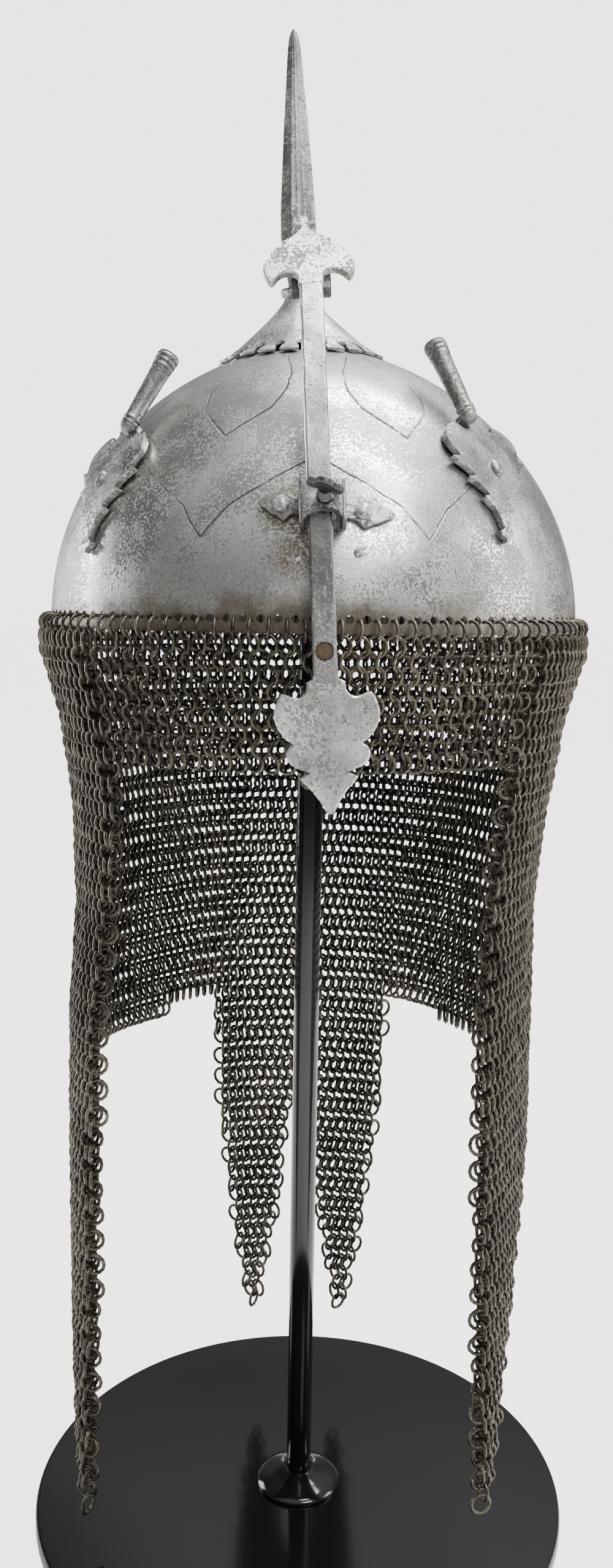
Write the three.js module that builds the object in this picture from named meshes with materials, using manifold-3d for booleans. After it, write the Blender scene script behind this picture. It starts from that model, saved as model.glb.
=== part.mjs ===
// Kulah khud: a steel helmet with a spike, a sliding nasal bar, two plume holders and a mail
// curtain, on a plain black display stand. Millimetres, +Z up, the face of the helmet towards -Y.
// The origin is the middle of the stand's underside.
import * as THREE from "three";
import { mergeVertices } from "three/addons/utils/BufferGeometryUtils.js";
import Module from "manifold-3d";

const wasm = await Module();
wasm.setup();
const DEG = Math.PI / 180;
const TURN = 2 * Math.PI;

// Clearances
const GAP = 0.3; // between pieces that touch or are fastened together
const RUNNING = 0.7; // in front of the bar in its bracket
const SIDE_PLAY = 1.7; // on each side of the bar in its bracket
const BEHIND_BAR = 0.6; // between the mail and the back of the bar

// Stand
const BASE_RADIUS = 114.7;
const BASE_THICK = 7;
const BASE_EDGE = 1.2;
const ROUND = 44; // sides of the base; smaller round pieces have half as many
const FLANGE_RADIUS = 18.5;
const FLANGE_HIGH = 6.6;
const POLE_RADIUS = 5.3;
const POLE_LEAN = 1.0; // how far the pole's top stands off to the right
const HEAD_RADIUS = 24;
const HEAD_DEEP = 14;

// Bowl
const RIM_Z = 383.9; // height of the rim over the table
const BOWL_RADIUS = 104.1;
const BOWL_HIGH = 108.4;
const BOWL_WALL = 1.8;
const BOWL_RISE = 2.07; // exponents of the raised outline
const BOWL_FULLNESS = 1.784;
const BOWL_X = 1.0; // the bowl sits a little to the right of the base's middle
const CROWN_SHIFT = -2.2; // the hand-raised crown leans this far to the left
const BOWL_SEGMENTS = 56;
const BOWL_STEPS = 8;
const RIM_HOLE_RADIUS = 1.5;
const RIM_HOLE_PITCH = 5.85;
const RIM_HOLE_UP = 4.9;
const OLD_HOLE_RADIUS = 0.9;
const OLD_HOLE = [-3, 24.5]; // turn from the front in degrees, height over the rim

// Apex plate and spike, on one leaning axis
const APEX_X = -5.0;
const APEX_LEAN = 2.2;
const PLATE_RADIUS = 31.9;
const PLATE_HIGH = 24.6;
const PLATE_WALL = 1.1;
const PLATE_CLEAR = 1.3; // from the bowl up to the plate's edge
const NECK_RADIUS = 5.8;
const NOTCHES = 22;
const NOTCH_RADIUS = 1.7;
const NOTCH_IN = 3.6; // from the plate's edge to the middle of a keyhole
const NOTCH_SLOT = 1.3;
const SPIKE_HIGH = 98;
const SPIKE_HALF = 7.1;
const SPIKE_COLLAR_HALF = 5.4;
const SPIKE_COLLAR_HIGH = 3.4;
const STEM_RADIUS = 3;
const STEM_LONG = 9;

// Nasal bar, an arc that slides along itself through the bracket
const BAR_ARC = 300; // radius of the arc
const BAR_UPRIGHT = -30; // height over the rim of that place
const BAR_WIDE = 8;
const BAR_THICK = 3;
const BAR_CHAMFER = 0.8;
const BAR_X = 4.4;
const BAR_LEAN = 2.9;
const BAR_STEPS = 12;
const LOW_ROOT = 16; // distances along the arc, up from the upright place
const HIGH_ROOT = 152;
const LOW_LONG = 43.8;
const LOW_HALF = 17.2;
const HIGH_LONG = 29.4;
const HIGH_HALF = 15.5;
const PALMETTE_THICK = 2.8;
const HIGH_TURN = 3.5; // the upper palmette is forged on a little askew
const BLOCK_WIDE = 13.6;
const BLOCK_HIGH = 7;
const BLOCK_DEEP = 5;
const PLUG_AT = 24.8;
const PLUG_RADIUS = 3.1;
const PLUG_DEEP = 1.2;
const PLUG_SUNK = 0.4; // below the bar's face

// Bracket and set screw
const BRACKET_AT = 72.5; // along the arc
const BRACKET_ASIDE = 0.9; // the bracket sits this far to the right of the bar's line
const BRACKET_SLOPE = -0.08; // rise over run of its leaves, left end high
const STRAP_HIGH = 13.6;
const STRAP_THICK = 1.9;
const ARCH_PAST = 0.6; // how far the arch in the strap's lower edge reaches past the bar's room
const STRAP_DEEP = 7.4; // how far the legs reach in from the bar's middle
const BRACKET_LEAF = 15.5; // from the strap's side to a leaf's tip
const BRACKET_LEAF_HALF = 5.2;
const LEAF_THICK = 1.4;
const RIVET_RADIUS = 2.8;
const RIVET_OUT = 13.2;
const SCREW_RADIUS = 2.4;
const SCREW_LONG = 9;
const SCREW_UP = 1.5; // the screw's place on the strap, up from its middle
const SCREW_ASIDE = 1.8; // and to the right of the bar's line
const THUMB_WIDE = 11.6;
const THUMB_HIGH = 8;
const THUMB_THICK = 2;
const THUMB_TURN = -18;
const STUD_RADIUS = 1.3;
const STUD_AT = [8.2, 26.5]; // turn from the front in degrees, height over the rim

// Plume holders
const HOLDER_LONG = 49; // of the leaf, along the bowl
const HOLDER_HALF = 19.6;
const HOLDER_THICK = 2.4;
const HOLDER_FLAT = 0.55; // share of the bowl's curve that the leaf doesn't follow
const TUBE_RADIUS = 4.4;
const TUBE_BORE = 3.5;
const TUBE_LONG = 34;
const TUBE_ASIDE = 5.5; // the tube stands this far towards the face from the leaf's middle
const TUBE_FROM = 0.93; // share of the leaf's length where the tube starts
const TUBE_LEAN = 33;
const TUBE_FLOOR = 4;
const RING_PROUD = 0.5;
const RING_HIGH = 1.1;
const OVAL_RIVET = 2.2;
const HOLDERS = [
  { side: "left", turn: -54.5, tip: 26, slant: 6 },
  { side: "right", turn: 44, tip: 31, slant: -7 },
];

// Mail curtain
const MAIL_WALL = 2.6;
const MAIL_TOP = 2.6; // over the rim, just under the rim's holes
const MAIL_ROWS = 6;
const MAIL_FRONT = 49.5; // depth of the short curtain in front of the face
const MAIL_LOW = 184; // depth of the edge between the points
const POINT_CLEAR = 4.9; // between the side points and the base
const REAR_LONG = 353; // depth of the rear points
const MAIL_SWING = -3.4; // the long mail hangs this far to the left
const SWING_FROM = 60; // depth where the swing starts
const SWING_WHOLE = 150; // and where it is whole
const POINT_TWIST = -4.2; // degrees that the side points are turned to the left
const RIGHT_POINT_UP = 14; // how much higher the right side point ends than the left one
const MAIL_FOLD = 1.3;
const MAIL_FOLDS = 7;

// The bar's middle from the bowl's axis where its arc is upright: it falls back from there to
// the mail's top, and clears the mail by its own gap.
const BAR_FALL = BAR_ARC - Math.sqrt(BAR_ARC ** 2 - (MAIL_TOP - BAR_UPRIGHT) ** 2);
// The widest step between the mail's columns, whose flats lie nearer to the bowl than its corners
const MAIL_SPREAD = 9;
const MAIL_SEAT = (BOWL_RADIUS + GAP) / Math.cos((MAIL_SPREAD / 2) * DEG);
const BAR_OUT = MAIL_SEAT + MAIL_WALL + BEHIND_BAR + BAR_THICK / 2 + BAR_FALL;

const BOWL = {
  radius: (up) => BOWL_RADIUS * Math.max(1 - (up / BOWL_HIGH) ** BOWL_RISE, 0) ** (1 / BOWL_FULLNESS),
  lean: (up) => BOWL_X + CROWN_SHIFT * Math.max(up / BOWL_HIGH, 0) ** 2,
};
BOWL.up = (radius) => BOWL_HIGH * (1 - (radius / BOWL_RADIUS) ** BOWL_FULLNESS) ** (1 / BOWL_RISE);
const PLATE_UP = BOWL.up(PLATE_RADIUS) + PLATE_CLEAR;

// Removes repeated vertices and empty faces, and makes a solid that faces outwards.
function solidOf(geometry) {
  const loose = geometry.index ? geometry.toNonIndexed() : geometry;
  const bare = new THREE.BufferGeometry().setAttribute("position", loose.getAttribute("position"));
  const merged = mergeVertices(bare, 1e-4);
  const corners = merged.index.array;
  const kept = [];
  for (let i = 0; i < corners.length; i += 3) {
    const [a, b, c] = corners.slice(i, i + 3);
    if (a !== b && b !== c && c !== a) kept.push(a, b, c);
  }
  const vertProperties = merged.attributes.position.array;
  const made = new wasm.Manifold(
    new wasm.Mesh({ numProp: 3, vertProperties, triVerts: new Uint32Array(kept) }),
  );
  if (made.volume() > 0) return made;
  return new wasm.Manifold(
    new wasm.Mesh({ numProp: 3, vertProperties, triVerts: new Uint32Array(kept.reverse()) }),
  );
}

function geometryOf(solid) {
  const mesh = solid.getMesh();
  const position = new THREE.BufferAttribute(mesh.vertProperties, 3);
  const geometry = new THREE.BufferGeometry().setAttribute("position", position);
  return geometry.setIndex(new THREE.BufferAttribute(mesh.triVerts, 1));
}

const joined = (parts) => parts.map(solidOf).reduce((whole, part) => whole.add(part));
const cutBy = (solid, cutters) => cutters.map(solidOf).reduce((left, cutter) => left.subtract(cutter), solid);

// A closed skin over rings of points; without caps where the last ring meets the first.
function skin(rings, loop = false) {
  const count = rings[0].length;
  const points = rings.flat(2);
  const faces = [];
  const last = loop ? rings.length : rings.length - 1;
  for (let r = 0; r < last; r++) {
    const low = r * count;
    const high = ((r + 1) % rings.length) * count;
    for (let i = 0; i < count; i++) {
      const j = (i + 1) % count;
      faces.push(low + i, low + j, high + j, low + i, high + j, high + i);
    }
  }
  const cap = (ring, start, turned) => {
    const middle = [0, 1, 2].map((k) => ring.reduce((sum, p) => sum + p[k], 0) / count);
    const at = points.length / 3;
    points.push(...middle);
    for (let i = 0; i < count; i++) {
      const pair = [start + i, start + ((i + 1) % count)];
      faces.push(at, ...(turned ? pair.reverse() : pair));
    }
  };
  if (!loop) {
    cap(rings[0], 0, true);
    cap(rings.at(-1), (rings.length - 1) * count, false);
  }
  const geometry = new THREE.BufferGeometry();
  geometry.setAttribute("position", new THREE.Float32BufferAttribute(points, 3));
  return geometry.setIndex(faces).toNonIndexed();
}

// A solid of revolution about +Z from [radius, height] pairs that start and end on the axis.
function turned(profile, segments) {
  const points = profile.map(([radius, height]) => new THREE.Vector2(radius, height));
  return new THREE.LatheGeometry(points, segments).rotateX(Math.PI / 2);
}

// An outline from half of it, mirrored about its long axis, as a flat plate of even thickness.
function plate(half, halfWide, long, thick) {
  const right = half.map(([out, along]) => new THREE.Vector2(out * halfWide, along * long));
  const left = right.filter((p) => p.x > 0).map((p) => new THREE.Vector2(-p.x, p.y)).reverse();
  const shape = new THREE.Shape([...right, ...left]);
  return new THREE.ExtrudeGeometry(shape, { depth: thick, bevelEnabled: false });
}

// The point at a turn from the front and a height over the rim, lifted off the bowl's surface.
function onBowl(turn, up, lift = 0) {
  const step = 0.5;
  const rise = new THREE.Vector2(BOWL.radius(up + step) - BOWL.radius(up - step), 2 * step).normalize();
  const radius = BOWL.radius(up) + lift * rise.y;
  const x = BOWL.lean(up) + radius * Math.sin(turn);
  return [x, -radius * Math.cos(turn), RIM_Z + up - lift * rise.x];
}

// The height over the rim that lies a distance up the bowl's surface from another height.
function climb(up, distance) {
  const step = 0.5;
  let height = up;
  for (let gone = 0; gone < distance; gone += step) {
    const slope = (BOWL.radius(height + step) - BOWL.radius(height - step)) / (2 * step);
    height += Math.min(step, distance - gone) / Math.hypot(1, slope);
  }
  return height;
}

// The bar's arc: a distance along it, a distance out from its middle, and one across it.
function onArc(along, out = 0, across = 0) {
  const turn = along / BAR_ARC;
  const radius = BAR_OUT - BAR_ARC + (BAR_ARC + out) * Math.cos(turn);
  return [across, -radius, BAR_UPRIGHT + (BAR_ARC + out) * Math.sin(turn)];
}

// Takes a plate that lies in XY, with its front towards +Z, to a place on the bar's arc.
function atArc(along, out) {
  const turn = along / BAR_ARC;
  const across = new THREE.Vector3(1, 0, 0);
  const up = new THREE.Vector3(0, Math.sin(turn), Math.cos(turn));
  const front = new THREE.Vector3(0, -Math.cos(turn), Math.sin(turn));
  const matrix = new THREE.Matrix4().makeBasis(across, up, front);
  return matrix.setPosition(new THREE.Vector3(...onArc(along, out)));
}

const root = new THREE.Group();
const apex = new THREE.Group();
apex.position.set(APEX_X, 0, RIM_Z + PLATE_UP);
apex.rotation.y = -APEX_LEAN * DEG;
const front = new THREE.Group();
front.position.set(BAR_X, 0, RIM_Z);
front.rotation.y = -BAR_LEAN * DEG;
root.add(apex, front);
root.updateMatrixWorld(true);

const FINISH = {
  blackGloss: { color: 0x0a0a0b, roughness: 0.18, metalness: 0.1 },
  palePolish: { color: 0xc9cac4, roughness: 0.38, metalness: 1 },
  darkSteel: { color: 0x74746e, roughness: 0.45, metalness: 1 },
  rustPlug: { color: 0x5d3f22, roughness: 0.8, metalness: 0.3 },
  oliveMail: { color: 0x4a463a, roughness: 0.55, metalness: 0.9 },
};

function node(name, solid, finish, group = root) {
  const mesh = new THREE.Mesh(geometryOf(solid), new THREE.MeshStandardMaterial(FINISH[finish]));
  mesh.name = name;
  group.add(mesh);
}

// Stand: a disk, a domed flange, a pole and a domed head that the crown rests on
const poleTilt = Math.atan(POLE_LEAN / RIM_Z);

function standBase() {
  const edge = BASE_RADIUS - BASE_EDGE;
  const profile = [
    [0, 0], [edge, 0], [BASE_RADIUS, BASE_EDGE],
    [BASE_RADIUS, BASE_THICK - BASE_EDGE], [edge, BASE_THICK], [0, BASE_THICK],
  ];
  return solidOf(turned(profile, ROUND));
}

// Columns: share of the way out from the pole, share of the height
const FLANGE_CURVE = [[1, 0], [0.97, 0.26], [0.76, 0.5], [0.42, 0.74], [0.14, 1], [0, 1]];

function standFlange() {
  const bore = POLE_RADIUS + GAP;
  const dome = FLANGE_CURVE.map(([out, high]) => {
    return [bore + (FLANGE_RADIUS - bore) * out, BASE_THICK + GAP + FLANGE_HIGH * high];
  });
  const ring = [[bore, BASE_THICK + GAP], ...dome];
  return solidOf(turned([...ring, ring[0]], ROUND / 2));
}

// Heights of the bowl's rings over the rim, closer together towards the crown
const RING_UPS = Array.from({ length: BOWL_STEPS + 1 }, (_, i) => {
  const share = i / BOWL_STEPS;
  return i === BOWL_STEPS ? BOWL_HIGH : BOWL_HIGH * Math.sin((share * Math.PI) / 2) ** 0.95;
});
const INNER = (up) => [Math.max(BOWL.radius(up) - BOWL_WALL, 0), up * (1 - BOWL_WALL / BOWL_HIGH)];

// Leans a solid of revolution as the hand-raised crown leans.
function leaning(geometry) {
  const position = geometry.getAttribute("position");
  for (let i = 0; i < position.count; i++) {
    position.setX(i, position.getX(i) + BOWL.lean(position.getZ(i)));
  }
  return geometry.translate(0, 0, RIM_Z);
}

function standHead() {
  const rings = RING_UPS.map(INNER).filter(([radius]) => radius < HEAD_RADIUS);
  const top = rings.map(([radius, up]) => [radius, up - GAP]).reverse();
  const [edge, low] = top.at(-1);
  const floor = top[0][1] - HEAD_DEEP;
  const under = [[edge, (low + floor) / 2], [edge * 0.7, floor + 1.5], [POLE_RADIUS, floor], [0, floor]];
  return { solid: solidOf(leaning(turned([...top, ...under], BOWL_SEGMENTS / 2))), floor };
}

function standPole(top) {
  const long = top - BASE_THICK - 2 * GAP;
  const pole = new THREE.CylinderGeometry(POLE_RADIUS, POLE_RADIUS, long, ROUND / 2).rotateX(Math.PI / 2);
  pole.translate(0, 0, long / 2).rotateY(poleTilt).translate(0, 0, BASE_THICK + GAP);
  return solidOf(pole);
}

// Bowl: a raised shell with a ring of holes along its rim
function bowl() {
  const outer = RING_UPS.map((up) => [BOWL.radius(up), up]);
  const inner = RING_UPS.map(INNER).reverse();
  const shell = solidOf(leaning(turned([...inner, ...outer], BOWL_SEGMENTS)));
  const count = Math.round((TURN * BOWL_RADIUS) / RIM_HOLE_PITCH / 2) * 2;
  const drill = (turn, up, radius) => {
    const cutter = new THREE.CylinderGeometry(radius, radius, 8 * BOWL_WALL, 4).rotateY(Math.PI / 4);
    cutter.translate(0, -BOWL.radius(up), 0).rotateZ(turn);
    return cutter.translate(BOWL.lean(up), 0, RIM_Z + up);
  };
  const holes = Array.from({ length: count }, (_, i) =>
    drill(((i + 0.5) / count) * TURN, RIM_HOLE_UP, RIM_HOLE_RADIUS),
  );
  return cutBy(shell, [...holes, drill(OLD_HOLE[0] * DEG, OLD_HOLE[1], OLD_HOLE_RADIUS)]);
}

// Apex plate: a flared trumpet with keyholes along its edge. Columns: share of the radius, of the height
const PLATE_CURVE = [
  [1, 0], [0.74, 0.24], [0.5, 0.51], [0.335, 0.7], [0.22, 0.89],
];

function apexPlate() {
  const bore = STEM_RADIUS + GAP;
  const flare = PLATE_CURVE.map(([r, h]) => [r * PLATE_RADIUS, h * PLATE_HIGH]);
  const outer = [...flare, [NECK_RADIUS, PLATE_HIGH]];
  const inner = [...PLATE_CURVE, [0, 1]].map(([r, h]) => {
    const wall = PLATE_WALL * (0.35 + 0.65 * h);
    return [Math.max(r * PLATE_RADIUS - wall, bore), h * PLATE_HIGH - PLATE_WALL * 0.5 * (1 - h)];
  });
  const ring = [...outer, ...inner.reverse()];
  const shell = solidOf(turned([...ring, ring[0]], NOTCHES));
  const keyhole = (turn) => {
    const round = new THREE.CylinderGeometry(NOTCH_RADIUS, NOTCH_RADIUS, PLATE_HIGH, 6).rotateX(Math.PI / 2);
    const slot = new THREE.BoxGeometry(NOTCH_IN + 2, NOTCH_SLOT, PLATE_HIGH);
    slot.translate(NOTCH_IN / 2 + 1, 0, 0);
    const out = PLATE_RADIUS - NOTCH_IN;
    return [round, slot].map((part) => part.translate(out, 0, 0).rotateZ(turn));
  };
  const turns = Array.from({ length: NOTCHES }, (_, i) => ((i + 0.5) / NOTCHES) * TURN);
  return cutBy(shell, turns.flatMap(keyhole));
}

// Spike: four hollow facets between sharp edges.
// Columns: share of the height, of the half width, of the way that the facets' middles stand out
const SPIKE_CURVE = [
  [0, 0.62, 0.9], [0.1, 0.8, 0.86], [0.2, 0.97, 0.8], [0.3, 0.96, 0.76], [0.48, 0.8, 0.74],
  [0.65, 0.64, 0.74], [0.82, 0.45, 0.76], [0.93, 0.34, 0.8], [0.985, 0.2, 0.9], [1, 0.08, 1],
];

function spike() {
  const seat = PLATE_HIGH + GAP;
  const blade = SPIKE_CURVE.map(([high, wide, hollow]) =>
    Array.from({ length: 8 }, (_, i) => {
      const out = SPIKE_HALF * wide * (i % 2 ? Math.SQRT1_2 * hollow : 1);
      const z = seat + SPIKE_COLLAR_HIGH + high * (SPIKE_HIGH - SPIKE_COLLAR_HIGH);
      return [out * Math.sin((i * TURN) / 8), -out * Math.cos((i * TURN) / 8), z];
    }),
  );
  const side = SPIKE_COLLAR_HALF * Math.SQRT2;
  const collar = new THREE.BoxGeometry(side, side, SPIKE_COLLAR_HIGH + 0.2).rotateZ(45 * DEG);
  collar.translate(0, 0, seat + (SPIKE_COLLAR_HIGH + 0.2) / 2);
  const stem = new THREE.CylinderGeometry(STEM_RADIUS, STEM_RADIUS, STEM_LONG, 12).rotateX(Math.PI / 2);
  stem.translate(0, 0, seat + 1 - STEM_LONG / 2);
  return joined([skin(blade), collar, stem]);
}

// Half outlines. Columns: share of the half width, share of the length
const LOW_PALMETTE = [
  [0, -0.03], [0.23, -0.03], [0.25, 0.0], [0.36, 0.022], [0.37, 0.07], [0.42, 0.105], [0.52, 0.132],
  [0.66, 0.128], [0.84, 0.1], [0.95, 0.18], [1, 0.265], [0.93, 0.36], [0.78, 0.44], [0.65, 0.475],
  [0.74, 0.5], [0.79, 0.545], [0.76, 0.6], [0.62, 0.65], [0.37, 0.69], [0.55, 0.727],
  [0.36, 0.81], [0.16, 0.92], [0.08, 0.985], [0, 1],
];
const HIGH_PALMETTE = [
  [0, 0.0], [0.27, 0.0], [0.27, 0.12], [0.4, 0.18], [0.58, 0.185], [0.73, 0.13], [0.85, 0.055],
  [0.97, 0.155], [1, 0.275], [0.95, 0.36], [0.86, 0.42], [0.78, 0.43], [0.81, 0.47], [0.7, 0.55],
  [0.56, 0.59], [0.46, 0.605], [0.54, 0.635], [0.32, 0.7], [0.16, 0.77], [0.07, 0.855],
  [0.23, 0.885], [0.22, 0.918], [0.07, 0.913], [0.12, 0.965], [0, 1],
];

function nasalBar() {
  const half = BAR_WIDE / 2;
  const deep = BAR_THICK / 2;
  const section = [
    [-half, -deep], [half, -deep], [half, deep - BAR_CHAMFER],
    [half - BAR_CHAMFER, deep], [BAR_CHAMFER - half, deep], [-half, deep - BAR_CHAMFER],
  ];
  const bar = Array.from({ length: BAR_STEPS + 1 }, (_, i) => {
    const along = LOW_ROOT - 1 + ((HIGH_ROOT + 5 - LOW_ROOT) * i) / BAR_STEPS;
    return section.map(([across, out]) => onArc(along, out, across));
  });
  const low = plate(LOW_PALMETTE, LOW_HALF, -LOW_LONG, PALMETTE_THICK);
  low.translate(0, 0, -PALMETTE_THICK / 2).applyMatrix4(atArc(LOW_ROOT, 0));
  const high = plate(HIGH_PALMETTE, HIGH_HALF, HIGH_LONG, PALMETTE_THICK);
  high.rotateZ(HIGH_TURN * DEG).translate(0, 0, GAP - PALMETTE_THICK / 2);
  high.applyMatrix4(atArc(HIGH_ROOT, 0));
  const block = new THREE.BoxGeometry(BLOCK_WIDE, BLOCK_HIGH, BLOCK_DEEP);
  block.translate(0, BLOCK_HIGH / 2, -BAR_THICK / 2 - BLOCK_DEEP / 2 + 0.2).applyMatrix4(atArc(HIGH_ROOT, 0));
  const recess = new THREE.CylinderGeometry(PLUG_RADIUS, PLUG_RADIUS, 2 * PLUG_DEEP, 14).rotateX(Math.PI / 2);
  recess.applyMatrix4(atArc(PLUG_AT, BAR_THICK / 2));
  return cutBy(joined([skin(bar), low, high, block]), [recess]);
}

function nasalPlug() {
  const radius = PLUG_RADIUS - GAP;
  const thick = PLUG_DEEP - GAP - PLUG_SUNK;
  const plug = new THREE.CylinderGeometry(radius, radius, thick, 14).rotateX(Math.PI / 2);
  plug.translate(0, 0, thick / 2).applyMatrix4(atArc(PLUG_AT, BAR_THICK / 2 - PLUG_DEEP + GAP));
  return solidOf(plug);
}

// A leaf that lies on the bowl. Rows hold: distance along its own line, half width, and lift.
// Its line starts at a turn and a height, and place() gives the turn and height of a row.
function leaf(rows, place, thick, flat) {
  const across = [-1, -0.5, 0, 0.5, 1];
  return skin(
    rows.map(([along, half, lift]) => {
      const point = (share, raise) => {
        const [turn, up] = place(along, half * share);
        const bulge = (flat * (half * share) ** 2) / (2 * BOWL_RADIUS);
        return onBowl(turn, up, lift + bulge + raise);
      };
      return [...across.map((s) => point(s, 0)), ...across.toReversed().map((s) => point(s, thick))];
    }),
  );
}

// The bowl's outside with the gap that pieces keep to it, for cutting their feet to its curve
function bowlRoom() {
  const outer = RING_UPS.map((up) => [BOWL.radius(up) && BOWL.radius(up) + GAP, up + (GAP * up) / BOWL_HIGH]);
  return leaning(turned([[0, 0], ...outer], BOWL_SEGMENTS));
}

// Bracket: a strap over the bar with a leaf to each side, one forged piece
const SCREW_AT = BRACKET_AT + SCREW_UP;
const STRAP_INSIDE = BAR_THICK / 2 + RUNNING;
// Columns: share of the leaf's length, share of its half height
const BRACKET_CURVE = [
  [0, 0.62], [0.16, 0.5], [0.3, 0.62], [0.42, 0.98], [0.52, 0.86], [0.62, 0.68], [0.8, 0.42], [1, 0.06],
];

function nasalBracket() {
  const inside = BAR_WIDE / 2 + SIDE_PLAY;
  const outside = inside + STRAP_THICK;
  const outline = new THREE.Shape([
    new THREE.Vector2(-outside, -STRAP_DEEP),
    new THREE.Vector2(-inside, -STRAP_DEEP),
    new THREE.Vector2(-inside, STRAP_INSIDE),
    new THREE.Vector2(inside, STRAP_INSIDE),
    new THREE.Vector2(inside, -STRAP_DEEP),
    new THREE.Vector2(outside, -STRAP_DEEP),
    new THREE.Vector2(outside, STRAP_INSIDE + STRAP_THICK / 2),
    new THREE.Vector2(outside - STRAP_THICK, STRAP_INSIDE + STRAP_THICK),
    new THREE.Vector2(STRAP_THICK - outside, STRAP_INSIDE + STRAP_THICK),
    new THREE.Vector2(-outside, STRAP_INSIDE + STRAP_THICK / 2),
  ]);
  const strap = new THREE.ExtrudeGeometry(outline, { depth: STRAP_HIGH, bevelEnabled: false });
  strap.translate(0, 0, -STRAP_HIGH / 2).rotateX(Math.PI / 2);
  strap.translate(BRACKET_ASIDE, 0, 0).applyMatrix4(atArc(BRACKET_AT, 0)).applyMatrix4(front.matrix);
  const arch = new THREE.CylinderGeometry(1, 1, 4 * STRAP_THICK, 12).rotateX(Math.PI / 2);
  arch.scale(inside + ARCH_PAST, 0.55 * (inside + ARCH_PAST), 1);
  arch.translate(BRACKET_ASIDE, -STRAP_HIGH / 2, STRAP_INSIDE);
  arch.applyMatrix4(atArc(BRACKET_AT, 0)).applyMatrix4(front.matrix);
  const middle = new THREE.Vector3(...onArc(BRACKET_AT, 0, BRACKET_ASIDE)).applyMatrix4(front.matrix);
  const up = middle.z - RIM_Z - 1.5;
  const radius = BOWL.radius(up);
  const turn = Math.asin((middle.x - BOWL.lean(up)) / radius);
  const sides = [-1, 1].map((side) => {
    const start = inside + STRAP_THICK / 4;
    const rows = BRACKET_CURVE.map(([out, high]) => {
      return [out * (BRACKET_LEAF + STRAP_THICK), high * BRACKET_LEAF_HALF, GAP];
    });
    const place = (along, off) => {
      const out = side * (start + along);
      return [turn + out / radius, up + BRACKET_SLOPE * out + side * off];
    };
    return leaf(rows, place, LEAF_THICK, 0);
  });
  const hole = new THREE.CylinderGeometry(SCREW_RADIUS + GAP, SCREW_RADIUS + GAP, 6 * STRAP_THICK, 8);
  hole.rotateX(Math.PI / 2).translate(SCREW_ASIDE, 0, STRAP_INSIDE + STRAP_THICK / 2);
  hole.applyMatrix4(atArc(SCREW_AT, 0)).applyMatrix4(front.matrix);
  return { solid: cutBy(joined([strap, ...sides]), [arch, hole, bowlRoom()]), turn, up, radius };
}

// A domed head, seated just clear of the surface beneath it
function dome(turn, up, lift, radius, stretch = 1) {
  const curve = [[0, 0.75], [0.4, 0.68], [0.75, 0.45], [0.95, 0.15], [1, 0], [0, 0]];
  const profile = curve.map(([out, high]) => [out * radius, high * radius]).reverse();
  const head = turned(profile, 8).scale(1, stretch, 1);
  const at = new THREE.Vector3(...onBowl(turn, up, lift));
  const outward = new THREE.Vector3(...onBowl(turn, up, lift + 1)).sub(at).normalize();
  head.applyQuaternion(new THREE.Quaternion().setFromUnitVectors(new THREE.Vector3(0, 0, 1), outward));
  return solidOf(head.translate(at.x, at.y, at.z));
}

// Set screw: a threaded shank with a flat three-lobed thumb piece.
// Columns of its lobes: shares of its width, of its height, and radius as a share of its width
const THUMB_LOBES = [[-0.29, 0.42, 0.24], [0.29, 0.42, 0.24], [0, 0.72, 0.28], [0, 0.3, 0.25]];

function setScrew() {
  const start = BAR_THICK / 2 + GAP;
  const profile = [[0, 0], [SCREW_RADIUS * 0.8, 0]];
  for (let i = 1; i < 8; i++) profile.push([SCREW_RADIUS * (i % 2 ? 1 : 0.82), (i * SCREW_LONG) / 8]);
  profile.push([SCREW_RADIUS * 0.8, SCREW_LONG], [0, SCREW_LONG]);
  const shank = turned(profile, 8);
  const lobes = THUMB_LOBES.map(([x, y, radius]) => {
    const lobe = new THREE.CylinderGeometry(radius * THUMB_WIDE, radius * THUMB_WIDE, THUMB_THICK, 12);
    return lobe.translate(x * THUMB_WIDE, 0, y * THUMB_HIGH + SCREW_LONG - 1);
  });
  return joined([shank, ...lobes]).rotate([0, 0, THUMB_TURN]).translate([0, 0, start]);
}

// Plume holder. Columns: share of the leaf's length, share of its half width
const HOLDER_CURVE = [
  [0, 0.02], [0.05, 0.05], [0.09, 0.14], [0.13, 0.13], [0.16, 0.06], [0.2, 0.12], [0.32, 0.36],
  [0.455, 0.66], [0.48, 0.76], [0.56, 0.88], [0.62, 0.96], [0.635, 0.88], [0.68, 0.95],
  [0.78, 1], [0.87, 0.92], [0.955, 0.66], [0.965, 0.36], [1.05, 0.32],
];

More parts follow.
